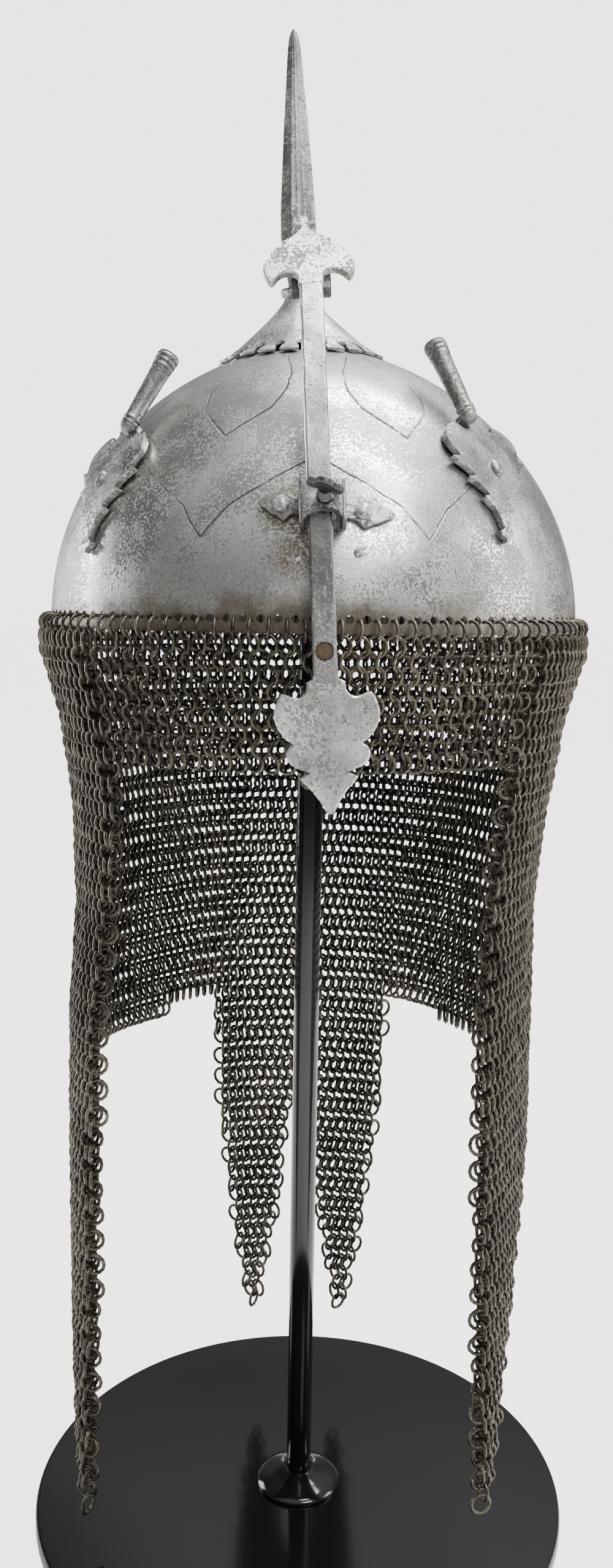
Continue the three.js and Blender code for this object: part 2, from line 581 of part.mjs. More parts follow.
function plumeHolder({ turn, tip, slant }) {
  const rows = HOLDER_CURVE.map(([along, half]) => [along * HOLDER_LONG, half * HOLDER_HALF, GAP]);
  const place = (along, off) => {
    const up = climb(tip, along);
    return [(turn + slant * (0.5 - along / HOLDER_LONG)) * DEG + off / BOWL.radius(up), up];
  };
  const facing = -Math.sign(turn);
  const [baseTurn, baseUp] = place(TUBE_FROM * HOLDER_LONG, facing * TUBE_ASIDE);
  const foot = onBowl(baseTurn, baseUp, GAP + TUBE_RADIUS + 0.4);
  const ring = TUBE_RADIUS + RING_PROUD;
  const profile = [[0, 0], [TUBE_RADIUS, 0]];
  for (const at of [5, 7.4, TUBE_LONG - 3.9, TUBE_LONG - 1.5]) {
    profile.push([TUBE_RADIUS, at - RING_HIGH], [ring, at], [TUBE_RADIUS, at + RING_HIGH]);
  }
  profile.push([TUBE_RADIUS, TUBE_LONG], [TUBE_BORE, TUBE_LONG], [TUBE_BORE, TUBE_FLOOR], [0, TUBE_FLOOR]);
  const tube = turned(profile, 10).rotateX(-TUBE_LEAN * DEG);
  tube.rotateZ(baseTurn).translate(...foot);
  const hooks = [-1, 1].map((side) => {
    const [hookTurn, hookUp] = place(0.95 * HOLDER_LONG, side * 0.36 * HOLDER_HALF);
    const at = new THREE.Vector3(...onBowl(hookTurn, hookUp, 0));
    const out = new THREE.Vector3(...onBowl(hookTurn, hookUp, 1)).sub(at).normalize();
    const bite = new THREE.CylinderGeometry(2.5, 2.5, 6 * HOLDER_THICK, 10);
    bite.applyQuaternion(new THREE.Quaternion().setFromUnitVectors(new THREE.Vector3(0, 1, 0), out));
    return bite.translate(at.x, at.y, at.z);
  });
  const flat = cutBy(solidOf(leaf(rows, place, HOLDER_THICK, HOLDER_FLAT)), hooks);
  const [rivetTurn, rivetUp] = place(0.56 * HOLDER_LONG, 0);
  const rivet = dome(rivetTurn, rivetUp, HOLDER_THICK + 2 * GAP, OVAL_RIVET, 1.5);
  return { solid: flat.add(solidOf(tube)), rivet };
}

// Mail. Columns: turn from the front in degrees, share of the front's or a point's depth
const MAIL_EDGE = [
  [0, "front", 1.03], [9, "front", 1.02], [18, "front", 1], [27, "front", 0.98], [36, "front", 0.96],
  [44, "front", 0.95], [49, "front", 1.15], [50.5, "point", 0.5], [54, "point", 0.78], [59, "point", 1],
  [63, "point", 0.95], [68, "point", 0.87], [75, "point", 0.76], [83, "point", 0.65], [91, "point", 0.56],
  [99, "low", 1.04], [108, "low", 1], [117, "low", 1.01], [126, "low", 1], [135, "low", 1],
  [144, "low", 0.98], [153.5, "low", 0.97], [155.5, "rear", 0.66], [159, "rear", 0.8], [162.5, "rear", 0.92],
  [166.5, "rear", 1], [169.5, "rear", 0.94], [173, "rear", 0.84], [176.5, "rear", 0.7], [180, "rear", 0.645],
];
// Columns, as shares of the bowl's radius: depth below the rim, distance in from the mail's top
const MAIL_HANG = [
  [-0.05, 0], [0.08, 0], [0.19, 0.025], [0.32, 0.052], [0.67, 0.103], [1.04, 0.122],
  [1.44, 0.108], [1.96, 0.102], [4.5, 0.112],
];

function hang(depth) {
  const down = depth / BOWL_RADIUS;
  const i = Math.max(1, MAIL_HANG.findIndex(([d]) => d >= down));
  const [[d0, r0], [d1, r1]] = [MAIL_HANG[i - 1], MAIL_HANG[i]];
  return MAIL_SEAT - BOWL_RADIUS * (r0 + ((r1 - r0) * (down - d0)) / (d1 - d0));
}

function mailCurtain() {
  const left = { front: MAIL_FRONT, low: MAIL_LOW, point: RIM_Z - BASE_THICK - POINT_CLEAR, rear: REAR_LONG };
  const right = { ...left, point: left.point - RIGHT_POINT_UP };
  const side = (depths, place) => MAIL_EDGE.map(([turn, kind, share]) => {
    return [place(turn * DEG), share * depths[kind], kind === "point" ? POINT_TWIST * DEG : 0];
  });
  const other = side(left, (turn) => TURN - turn).slice(1, -1).reverse();
  const rings = [...side(right, (turn) => turn), ...other].map(([turn, depth, twist]) => {
    const wall = Array.from({ length: MAIL_ROWS + 1 }, (_, i) => {
      const down = (depth + MAIL_TOP) * (i / MAIL_ROWS) ** 1.15 - MAIL_TOP;
      const loose = Math.min(Math.max(down - SWING_FROM, 0) / (SWING_WHOLE - SWING_FROM), 1);
      const fold = MAIL_FOLD * loose * Math.cos(MAIL_FOLDS * turn + 0.6);
      return [hang(down) + fold, down, loose];
    });
    const at = ([radius, down, loose], thick) => {
      const reach = radius + thick;
      const way = turn + twist * loose;
      const x = BOWL_X + MAIL_SWING * loose + reach * Math.sin(way);
      return [x, -reach * Math.cos(way), RIM_Z - down];
    };
    return [...wall.map((p) => at(p, MAIL_WALL)), ...wall.toReversed().map((p) => at(p, 0))];
  });
  return solidOf(skin(rings, true));
}

const head = standHead();
node("stand_base", standBase(), "blackGloss");
node("stand_flange", standFlange(), "blackGloss");
node("stand_pole", standPole(RIM_Z + head.floor - GAP), "blackGloss");
node("stand_head", head.solid, "blackGloss");
node("bowl", bowl(), "palePolish");
node("apex_plate", apexPlate(), "palePolish", apex);
node("spike", spike(), "darkSteel", apex);
node("nasal_bar", nasalBar(), "palePolish", front);
node("nasal_plug", nasalPlug(), "rustPlug", front);

const bracket = nasalBracket();
node("nasal_bracket", bracket.solid, "palePolish");
for (const [side, name] of [[-1, "left"], [1, "right"]]) {
  const turn = bracket.turn + (side * RIVET_OUT) / bracket.radius;
  const up = bracket.up + BRACKET_SLOPE * side * RIVET_OUT;
  node("bracket_rivet_" + name, dome(turn, up, LEAF_THICK + 2 * GAP, RIVET_RADIUS), "palePolish");
}
const screwSeat = new THREE.Group();
screwSeat.applyMatrix4(atArc(SCREW_AT, 0).multiply(new THREE.Matrix4().makeTranslation(SCREW_ASIDE, 0, 0)));
front.add(screwSeat);
node("set_screw", setScrew(), "darkSteel", screwSeat);
node("bowl_stud", dome(STUD_AT[0] * DEG, STUD_AT[1], GAP, STUD_RADIUS), "palePolish");
for (const place of HOLDERS) {
  const holder = plumeHolder(place);
  node("plume_holder_" + place.side, holder.solid, "palePolish");
  node("holder_rivet_" + place.side, holder.rivet, "palePolish");
}
node("mail_curtain", mailCurtain(), "oliveMail");

export default root;
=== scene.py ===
"""Looks of a kulah khud: a steel helmet with a spike, a sliding nasal bar and a mail curtain."""

import math

import bpy
import numpy as np
from mathutils import Matrix, Vector


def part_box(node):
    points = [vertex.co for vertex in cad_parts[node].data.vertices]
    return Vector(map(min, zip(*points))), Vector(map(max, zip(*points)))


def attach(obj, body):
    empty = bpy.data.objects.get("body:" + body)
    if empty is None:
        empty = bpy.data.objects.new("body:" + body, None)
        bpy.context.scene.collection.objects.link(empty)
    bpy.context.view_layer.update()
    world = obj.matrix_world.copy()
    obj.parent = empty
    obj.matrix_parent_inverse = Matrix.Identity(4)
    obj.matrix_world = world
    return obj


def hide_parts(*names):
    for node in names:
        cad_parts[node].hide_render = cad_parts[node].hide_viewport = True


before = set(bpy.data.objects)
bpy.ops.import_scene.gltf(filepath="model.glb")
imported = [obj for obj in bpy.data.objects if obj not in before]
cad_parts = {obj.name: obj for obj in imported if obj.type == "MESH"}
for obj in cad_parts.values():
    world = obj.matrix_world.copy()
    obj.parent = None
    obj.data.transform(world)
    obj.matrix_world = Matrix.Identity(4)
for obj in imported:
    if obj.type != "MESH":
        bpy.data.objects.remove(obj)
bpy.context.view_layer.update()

bl_info = {
    "name": "Kulah khud with mail curtain",
    "version": (1, 0, 0),
    "blender": (4, 5, 0),
    "location": "3D View > Sidebar > Helmet",
    "description": "Builds the pieces, finishes and stage of a kulah khud on its display stand",
    "category": "Object",
}

# Sizes shared with the frame, in millimetres; +Z is up and the face looks towards -Y
MM = 0.001
DEG = math.pi / 180
TURN = 2 * math.pi
RIM_Z = 383.9
BOWL_RADIUS, BOWL_HIGH, BOWL_X, CROWN_SHIFT = 104.1, 108.4, 1.0, -2.2
BOWL_RISE, BOWL_FULLNESS = 2.07, 1.784  # powers of the bowl's profile, of its height and its radius
OLD_HOLE, STUD = (-3, 24.5), (8.2, 26.5)  # degrees from the front, height over the rim
APEX_X, APEX_LEAN = -5.0, 2.2
BAR_X, BAR_LEAN, BAR_ARC, BAR_UPRIGHT = 4.4, 2.9, 300.0, -30.0
BAR_WIDE, BAR_THICK = 8.0, 3.0
LOW_ROOT, HIGH_ROOT = 16.0, 152.0
PLUG_AT = 24.8
MAIL_WALL, MAIL_TOP, MAIL_SEAT = 2.6, 2.6, 104.4 / math.cos(4.5 * DEG)
BEHIND_BAR = 0.6
BAR_FALL = BAR_ARC - math.sqrt(BAR_ARC**2 - (MAIL_TOP - BAR_UPRIGHT) ** 2)
BAR_OUT = MAIL_SEAT + MAIL_WALL + BEHIND_BAR + BAR_THICK / 2 + BAR_FALL
PLATE_RADIUS = 31.9
PLATE_UP = BOWL_HIGH * (1 - (PLATE_RADIUS / BOWL_RADIUS) ** BOWL_FULLNESS) ** (1 / BOWL_RISE) + 1.3
BRACKET_AT, BRACKET_ASIDE = 72.5, 0.9
SCREW_AT, SCREW_ASIDE = 74.0, 1.8


class HelmetSizes(bpy.types.PropertyGroup):
    """Sizes of the fine work, in millimetres"""
    ring_across: bpy.props.FloatProperty(
        name="Ring width", description="Outer width of a mail ring", default=9.4, min=6, max=11)
    ring_wire: bpy.props.FloatProperty(
        name="Ring wire", description="Thickness of a mail ring's wire", default=1.5, min=0.8, max=1.6)
    ring_rows: bpy.props.FloatProperty(
        name="Row pitch", description="Height from one row of rings to the next", default=5.6, min=5, max=6.5)
    ring_count: bpy.props.IntProperty(
        name="Rings in a row", description="Rings round the rim, one to each hole",
        default=112, min=80, max=140)
    bowl_wall: bpy.props.FloatProperty(
        name="Bowl wall", description="Thickness of the bowl's steel", default=1.8, min=1, max=3)
    keyholes: bpy.props.IntProperty(
        name="Keyholes", description="Keyholes along the apex plate's edge", default=22, min=12, max=30)


class HelmetFinishes(bpy.types.PropertyGroup):
    """Colours of the finishes"""
    steel: bpy.props.FloatVectorProperty(
        name="Steel", description="Colour of the polished steel", subtype="COLOR", default=(0.66, 0.655, 0.63))
    patina: bpy.props.FloatVectorProperty(
        name="Patina", description="Colour of the brown patina in pits and corners", subtype="COLOR",
        default=(0.155, 0.122, 0.08))
    iron: bpy.props.FloatVectorProperty(
        name="Mail iron", description="Colour of the mail's iron", subtype="COLOR",
        default=(0.05, 0.044, 0.034))
    black: bpy.props.FloatVectorProperty(
        name="Stand", description="Colour of the stand's gloss black", subtype="COLOR",
        default=(0.004, 0.004, 0.0045))


def sizes():
    return bpy.context.scene.helmet_sizes


def finishes():
    return bpy.context.scene.helmet_finishes


# Shader maths as expressions

class Signal:
    """A value that varies over a surface: a shader socket that takes part in Python expressions"""

    def __init__(self, finish, socket):
        self.finish, self.socket = finish, socket

    def math(self, kind, *values, clamp=False):
        settings = {"operation": kind, "use_clamp": clamp}
        return self.finish.node("ShaderNodeMath", settings, dict(enumerate(values)))

    def __add__(self, other): return self.math("ADD", self, other)
    def __sub__(self, other): return self.math("SUBTRACT", self, other)
    def __mul__(self, other): return self.math("MULTIPLY", self, other)
    def __truediv__(self, other): return self.math("DIVIDE", self, other)
    def __pow__(self, other): return self.math("POWER", self, other)
    def __rsub__(self, other): return self.math("SUBTRACT", other, self)
    def __neg__(self): return self.math("MULTIPLY", self, -1)
    def __abs__(self): return self.math("ABSOLUTE", self)
    __radd__, __rmul__ = __add__, __mul__

    def clamped(self): return self.math("ADD", self, 0.0, clamp=True)
    def least(self, other): return self.math("MINIMUM", self, other)

    def between(self, low, high, start=0.0, end=1.0):
        """Start below low, end above high, and a smooth step between them"""
        return self.finish.node("ShaderNodeMapRange", {"interpolation_type": "SMOOTHSTEP"},
                                {0: self, 1: low, 2: high, 3: start, 4: end})


class Nodes:
    """A node tree that is written as expressions"""

    def __init__(self, tree):
        self.tree = tree

    def node(self, kind, settings, inputs, out=0):
        made = self.tree.nodes.new(kind)
        for name, value in settings.items():
            setattr(made, name, value)
        for key, value in inputs.items():
            if isinstance(value, Signal):
                self.tree.links.new(value.socket, made.inputs[key])
            else:
                made.inputs[key].default_value = value
        return Signal(self, made.outputs[out])


class Finish(Nodes):
    """A material whose nodes are written as expressions on places in millimetres"""

    def __init__(self, name):
        self.material = bpy.data.materials.new(name)
        self.material.use_nodes = True
        super().__init__(self.material.node_tree)
        self.shader = self.tree.nodes["Principled BSDF"]
        self.place = self.node("ShaderNodeTexCoord", {}, {}, "Object")
        self.place = self.stretched(1000, 1000, 1000)

    def axes(self):
        split = self.node("ShaderNodeSeparateXYZ", {}, {0: self.place})
        outputs = split.socket.node.outputs
        return [Signal(self, outputs[i]) for i in range(3)]

    def stretched(self, x, y, z):
        return self.node("ShaderNodeVectorMath", {"operation": "MULTIPLY"}, {0: self.place, 1: (x, y, z)})

    def noise(self, size, detail, rough, where=None):
        """Cloudy noise whose largest forms measure about size millimetres"""
        return self.node("ShaderNodeTexNoise", {}, {"Vector": where or self.place, "Scale": 1 / size,
                                                    "Detail": detail, "Roughness": rough})

    def cells(self, size):
        """Distance from the middles of cells of about that size in millimetres"""
        return self.node("ShaderNodeTexVoronoi", {}, {"Vector": self.place, "Scale": 1 / size})

    def blend(self, share, first, second):
        """Colours blended, from first at 0 to second at 1"""
        inputs = {0: share, 6: first if isinstance(first, Signal) else (*first, 1),
                  7: second if isinstance(second, Signal) else (*second, 1)}
        return self.node("ShaderNodeMix", {"data_type": "RGBA"}, inputs, 2)

    def done(self, colour, rough, metallic=1.0, relief=None, deep=0.1):
        """The material, once its values are led to the shader; relief is deep millimetres high at 1"""
        inputs = self.shader.inputs
        for name, value in (("Base Color", colour), ("Roughness", rough), ("Metallic", metallic)):
            if isinstance(value, Signal):
                self.tree.links.new(value.socket, inputs[name])
            else:
                inputs[name].default_value = value
        if relief is not None:
            bump = self.node("ShaderNodeBump", {}, {"Strength": 1.0, "Distance": deep * MM, "Height": relief})
            self.tree.links.new(bump.socket, inputs["Normal"])
        return self.material


def shade(colour, share):
    return tuple(c * share for c in colour)


def worn_steel(name, light, pits, brown, rough, grain, streaks, painted_shade_below=None):
    """Old polished steel: cloudy tone, small dark pits, brown stains and fine polishing marks; optionally
    painted shade below some height
    """
    f = Finish(name)
    steel, patina = shade(finishes().steel, light), finishes().patina
    cloud = f.noise(16, 5, 0.62)
    speckle = f.noise(1.3, 3, 0.75)
    region = f.noise(13, 4, 0.65)
    edge = 0.735 - 0.13 * pits
    pitted = (speckle * 0.75 + region * 0.5).between(edge, edge + 0.075)
    stained = f.noise(19, 6, 0.7) * 0.8 + speckle * 0.25
    stained = stained.between(0.70 - 0.2 * brown, 0.8 - 0.14 * brown)
    polish = f.noise(1.0, 2, 0.6, where=f.stretched(1.2, 1.2, 0.12))
    tone = f.blend(cloud.between(0.36, 0.66), shade(steel, 0.62), shade(steel, 1.15))
    tone = f.blend((polish.between(0.45, 0.7) * streaks).clamped(), tone, shade(steel, 0.6))
    # Painted shade: the steel darkens below a band of heights, standing in for the overhead light that the
    # lower part misses
    if painted_shade_below:
        low, high, share = painted_shade_below
        tone = f.blend((1.0 - f.axes()[2].between(low, high)) * share, tone, shade(steel, 0.3))
    tone = f.blend(stained * 0.5, tone, shade(patina, 1.3))
    tone = f.blend(pitted * 0.75, tone, tuple(0.3 * p + 0.13 * c for p, c in zip(patina, steel)))
    roughness = (rough + cloud.between(0.3, 0.7) * 0.1 + stained * 0.2 + pitted * 0.3 + polish * 0.06).clamped()
    relief = f.noise(0.9, 3, 0.6) * grain - pitted * 1.3 + f.noise(9, 3, 0.5) * 2.2 + speckle * grain
    return f.done(tone, roughness, 1.0 - pitted * 0.3, relief, 0.14)


# Engraved lines of the bowl's eight panels: degrees from a panel's middle, height over the rim
ENGRAVED = [
    [(0, 58.5), (9.5, 50.2), (17.5, 41.8), (22.5, 31.2)],
    [(22.5, 66.0), (12.6, 76.2), (9.6, 83.5), (9.9, 91.0), (16.5, 99.5)],
]

# Brown stains round the bracket, its rivets and the old hole: right of the middle, height over the rim, radius
HALOS = [(-10, 41, 12), (19, 40, 9), (-6, 24, 11), (16, 27, 5), (0, 32, 12)]


def engraved_steel(name):
    """The bowl's steel: grainy grey with bright worn patches, engraved panels and a brown rim"""
    f = Finish(name)
    steel, patina = finishes().steel, finishes().patina
    x, y, z = f.axes()
    x, up = x - BOWL_X, z - RIM_Z
    out = (x * x + y * y) ** 0.5
    turn = f.node("ShaderNodeMath", {"operation": "ARCTAN2"}, {0: x, 1: -y})
    panel = TURN / 8
    aside = f.node("ShaderNodeMath", {"operation": "PINGPONG"}, {0: turn, 1: panel / 2}) * out
    wobble = (f.noise(9, 2, 0.5) - 0.5) * 1.6
    nearest = None
    for line in ENGRAVED:
        points = [(a * DEG * bowl_radius(h), h) for a, h in line]
        for (ax, az), (bx, bz) in zip(points, points[1:]):
            dx, dz = bx - ax, bz - az
            px, pz = aside - ax + wobble, up - az
            along = ((px * dx + pz * dz) / (dx * dx + dz * dz)).clamped()
            ex, ez = px - along * dx, pz - along * dz
            away = ex * ex + ez * ez
            nearest = away if nearest is None else nearest.least(away)
    groove = (1.0 - (nearest ** 0.5).between(0.12, 0.5)) * f.noise(12, 3, 0.6).between(0.3, 0.5, 0.4, 1.0)
    speckle = f.noise(0.95, 3, 0.8)
    scratch = f.noise(1.3, 2, 0.6, where=f.stretched(0.3, 0.3, 1.4))
    region = f.noise(30, 5, 0.62)
    worn = f.noise(42, 3, 0.5).between(0.44, 0.64)
    pitted = (speckle * 0.8 + region * 0.5 - worn * 0.06).between(0.60, 0.665)
    low = (1.0 - (up + (f.noise(13, 4, 0.65) - 0.5) * 26 + abs(x) * 0.07).between(5, 19)).clamped()
    stains = (f.noise(17, 6, 0.7) * 0.85 + speckle * 0.2).between(0.58, 0.7)
    halo = None
    for hx, hz, size in HALOS:
        hx, hz = x - hx, up - hz
        away = (hx * hx + hz * hz) ** 0.5 + (region - 0.5) * 14
        ring = (1.0 - away.between(size * 0.35, size)) * y.between(-20, 0, 1, 0)
        halo = ring if halo is None else halo.math("MAXIMUM", halo, ring)
    tone = f.blend(worn, shade(steel, 0.8), shade(steel, 1.25))
    tone = f.blend((pitted * (1.0 - worn * 0.4) * 0.84).clamped(), tone, shade(steel, 0.17))
    tone = f.blend((scratch.between(0.58, 0.68) * 0.2).clamped(), tone, shade(steel, 0.35))
    tone = f.blend((stains * 0.35).clamped(), tone, shade(patina, 1.6))
    tone = f.blend((halo * speckle.between(0.3, 0.55) * 0.85).clamped(), tone, shade(patina, 0.75))
    tone = f.blend((low * 0.88).clamped(), tone, shade(patina, 0.6))
    tone = f.blend((groove * 0.92).clamped(), tone, shade(patina, 0.3))
    roughness = (0.24 + groove * 0.3 + pitted * 0.22 - worn * 0.04 + stains * 0.1 + low * 0.14).clamped()
    relief = speckle * 0.3 + f.noise(9, 2, 0.5) * 0.45 + f.noise(52, 1, 0.4) * 13.0
    relief = relief - groove * 0.8 - pitted * 0.2
    return f.done(tone, roughness, 1.0 - pitted * 0.15, relief, 0.12)


def mail_iron(name):
    """Brown-black iron wire with brighter spots, partly rubbed iron and partly painted glints"""
    f = Finish(name)
    iron, patina = finishes().iron, finishes().patina
    ring = f.cells(7.0)
    dust = f.noise(1.1, 3, 0.6)
    region = f.noise(55, 3, 0.6)
    rubbed_and_glint = (dust * 0.75 + region * 0.5).between(0.62, 0.74)
    rust = (f.noise(5, 3, 0.6) * 0.7 + region * 0.4).between(0.54, 0.7)
    tone = f.blend(ring.between(0.2, 0.8), shade(iron, 0.55), shade(iron, 1.35))
    tone = f.blend(rust * 0.5, tone, shade(patina, 0.45))
    # Brighter spots: partly rubbed iron, partly painted glints
    tone = f.blend(rubbed_and_glint * 0.5, tone, shade(iron, 3.4))
    return f.done(tone, 0.4 - rubbed_and_glint * 0.1 + rust * 0.18, 0.92 - rust * 0.3, dust, 0.14)


def gloss_black(name):
    """Black lacquered metal with a faint unevenness and a little dust"""
    f = Finish(name)
    black = finishes().black
    dust = f.noise(3.2, 5, 0.7).between(0.62, 0.85)
    tone = f.blend(dust * 0.3, black, (0.05, 0.05, 0.052))
    rough = 0.09 + f.noise(40, 3, 0.5) * 0.05 + dust * 0.1
    return f.done(tone, rough, 0.0, f.noise(30, 2, 0.5), 0.05)


def rusty(name):
    f = Finish(name)
    patina = finishes().patina
    cloud = f.noise(1.6, 5, 0.7)
    tone = f.blend(cloud.between(0.3, 0.7), shade(patina, 0.3), (0.1, 0.058, 0.028))
    return f.done(tone, 0.55 + cloud * 0.3, 0.35, cloud, 0.3)


# Worn steels: light, pits, brown, roughness, grain, streaks; the bar also gets painted shade below a band
# between two heights
WORN = {
    "fitting": (0.6, 0.7, 0.42, 0.25, 0.6, 0.4),
    "clasp": (0.4, 0.7, 0.5, 0.24, 0.6, 0.3),
    "palmette": (0.9, 0.9, 0.45, 0.36, 0.8, 0.35),
    "bar": (0.92, 0.5, 0.3, 0.27, 0.6, 0.4, (RIM_Z + 48, RIM_Z + 66, 0.68)),
    "apex": (0.7, 0.55, 0.35, 0.3, 0.8, 0.2),
    "spike": (0.5, 0.55, 0.15, 0.27, 1.1, 0.25),
    "tube": (0.38, 0.6, 0.45, 0.3, 1.2, 0.1),
    "dark": (0.17, 0.8, 0.5, 0.36, 0.9, 0.1),
}
OTHERS = {"bowl": engraved_steel, "mail": mail_iron, "black": gloss_black, "rust": rusty}


def finish_of(name):
    """The finish of that name, made at its first use"""
    full = "finish_" + name
    made = bpy.data.materials.get(full)
    if made:
        return made
    return worn_steel(full, *WORN[name]) if name in WORN else OTHERS[name](full)


# Modelling steps, in millimetres until a piece is set down

def alone(piece=None):
    """Leaves only this piece selected and active"""
    if bpy.context.object and bpy.context.object.mode != "OBJECT":
        bpy.ops.object.mode_set(mode="OBJECT")
    bpy.ops.object.select_all(action="DESELECT")
    if piece:
        piece.select_set(True)
        bpy.context.view_layer.objects.active = piece


def edit(piece, *steps):
    """Runs edit-mode steps on the whole of a piece"""
    alone(piece)
    bpy.ops.object.mode_set(mode="EDIT")
    bpy.ops.mesh.select_all(action="SELECT")
    for step in steps:
        step()
    bpy.ops.object.mode_set(mode="OBJECT")
    return piece


def outwards():
    bpy.ops.mesh.normals_make_consistent(inside=False)


def weld():
    bpy.ops.mesh.remove_doubles(threshold=0.002)


def blank(across, along, shape):
    """A grid of across by along faces, laid out by shape(u, v) with u and v from 0 to 1"""
    alone()
    bpy.ops.mesh.primitive_grid_add(x_subdivisions=across, y_subdivisions=along, size=1)
    piece = bpy.context.object
    for vertex in piece.data.vertices:
        vertex.co = shape(vertex.co.x + 0.5, vertex.co.y + 0.5)
    return piece


def loft(rings):
    """A closed body over rings of points, with its seam welded and its ends filled"""
    count, last = len(rings[0]), len(rings) - 1
    piece = blank(count, last, lambda u, v: rings[round(v * last)][round(u * count) % count])
    return edit(piece, weld,
                lambda: bpy.ops.mesh.select_all(action="DESELECT"),
                lambda: bpy.ops.mesh.select_non_manifold(),
                lambda: bpy.ops.mesh.fill_holes(sides=0),
                lambda: bpy.ops.mesh.select_all(action="SELECT"),
                outwards)


def circle(radius, height, sides):
    return [(radius * math.sin(i * TURN / sides), -radius * math.cos(i * TURN / sides), height)
            for i in range(sides)]


def turned(profile, sides):
    """A body of revolution from [radius, height] pairs, bottom to top"""
    return loft([circle(max(radius, 0.001), height, sides) for radius, height in profile])


def modify(piece, kind, **settings):
    """Adds a modifier and applies it"""
    alone(piece)
    made = piece.modifiers.new(kind.lower(), kind)
    for name, value in settings.items():
        setattr(made, name, value)
    bpy.ops.object.modifier_apply(modifier=made.name)
    return piece


def softened(piece, width=0.3, segments=2, angle=35):
    return modify(piece, "BEVEL", width=width, segments=segments, limit_method="ANGLE", angle_limit=angle * DEG)


def thick(piece, deep, offset=-1.0):
    return modify(piece, "SOLIDIFY", thickness=deep, offset=offset, use_even_offset=False)


def cut(piece, cutter):
    modify(piece, "BOOLEAN", operation="DIFFERENCE", object=cutter, solver="EXACT")
    bpy.data.objects.remove(cutter)
    return piece


def merged(pieces):
    """Joins pieces into the first of them"""
    alone()
    for piece in pieces:
        piece.select_set(True)
    bpy.context.view_layer.objects.active = pieces[0]
    bpy.ops.object.join()
    return pieces[0]


def moved(piece, matrix):
    piece.data.transform(matrix)
    return piece


def rounded(outline, steps=3):
    """A closed outline with points added along smooth curves through the given ones"""
    made, count = [], len(outline)
    for i in range(count):
        p0, p1, p2, p3 = (Vector((*outline[(i + k) % count], 0)) for k in (-1, 0, 1, 2))
        for s in range(steps):
            t = s / steps
            made.append(tuple(0.5 * ((2 * p1) + (p2 - p0) * t + (2 * p0 - 5 * p1 + 4 * p2 - p3) * t * t
                                     + (3 * p1 - p0 - 3 * p2 + p3) * t**3))[:2])
    return made


def cut_plate(outline, deep, edge, crown):
    """A flat plate of that outline in XY with a filed, slanting front edge; its front is towards +Z"""
    alone()
    bpy.ops.mesh.primitive_circle_add(vertices=len(outline), radius=1, fill_type="NGON")
    piece = bpy.context.object
    for vertex, point in zip(piece.data.vertices, outline):
        vertex.co = (*point, 0)
    edit(piece, outwards_up,
         lambda: bpy.ops.mesh.extrude_region_move(TRANSFORM_OT_translate={"value": (0, 0, deep)}),
         lambda: bpy.ops.mesh.inset(thickness=edge, depth=crown, use_even_offset=False))
    return edit(piece, outwards)


def outwards_up():
    """Turns a flat face to look towards +Z"""
    mesh = bpy.context.object
    bpy.ops.mesh.normals_make_consistent(inside=False)
    mesh.update_from_editmode()
    if mesh.data.polygons[0].normal.z < 0:
        bpy.ops.mesh.flip_normals()


def set_down(piece, name, finish, slot, body, *nodes, angle=35):
    """Names a piece, gives it its finish, brings it to metres and lets it ride in place of its CAD nodes"""
    piece.data.transform(Matrix.Scale(MM, 4))
    piece.name = piece.data.name = name
    piece.data.materials.clear()
    piece.data.materials.append(finish_of(finish))
    alone(piece)
    bpy.ops.object.shade_smooth_by_angle(angle=angle * DEG)
    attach(piece, body)
    if nodes:
        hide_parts(*nodes)
    return piece


# Places on the bowl and along the bar

def bowl_radius(up):
    """The bowl's radius at a height over the rim"""
    return BOWL_RADIUS * max(1 - (max(up, 0) / BOWL_HIGH) ** BOWL_RISE, 0) ** (1 / BOWL_FULLNESS)


def on_bowl(turn, up, lift=0.0):
    """The point at a turn from the front and a height over the rim, lifted off the surface"""
    slope = Vector((bowl_radius(up + 0.5) - bowl_radius(up - 0.5), 1.0)).normalized()
    radius = bowl_radius(up) + lift * slope.y
    x = BOWL_X + CROWN_SHIFT * max(up / BOWL_HIGH, 0) ** 2 + radius * math.sin(turn)
    return Vector((x, -radius * math.cos(turn), RIM_Z + up - lift * slope.x))


def climb(up, distance):
    """The height that lies a distance up the bowl's surface"""
    gone = 0.0
    while gone < distance:
        step = min(0.5, distance - gone)
        up += step / math.hypot(1, bowl_radius(up + 0.5) - bowl_radius(up - 0.5))
        gone += 0.5
    return up


FRONT = Matrix.Translation((BAR_X, 0, RIM_Z)) @ Matrix.Rotation(-BAR_LEAN * DEG, 4, "Y")
APEX = Matrix.Translation((APEX_X, 0, RIM_Z + PLATE_UP)) @ Matrix.Rotation(-APEX_LEAN * DEG, 4, "Y")


def on_bar(along, out=0.0, across=0.0):
    turn = along / BAR_ARC
    radius = BAR_OUT - BAR_ARC + (BAR_ARC + out) * math.cos(turn)
    return FRONT @ Vector((across, -radius, BAR_UPRIGHT + (BAR_ARC + out) * math.sin(turn)))


def at_bar(along, out=0.0, across=0.0):
    """Takes a piece that lies in XY with its front towards +Z to its place along the bar"""
    turn = along / BAR_ARC
    sine, cosine = math.sin(turn), math.cos(turn)
    basis = Matrix(((1, 0, 0), (0, sine, -cosine), (0, cosine, sine))).to_4x4()
    face = FRONT.to_3x3().to_4x4() @ basis
    face.translation = on_bar(along, out, across)
    return face


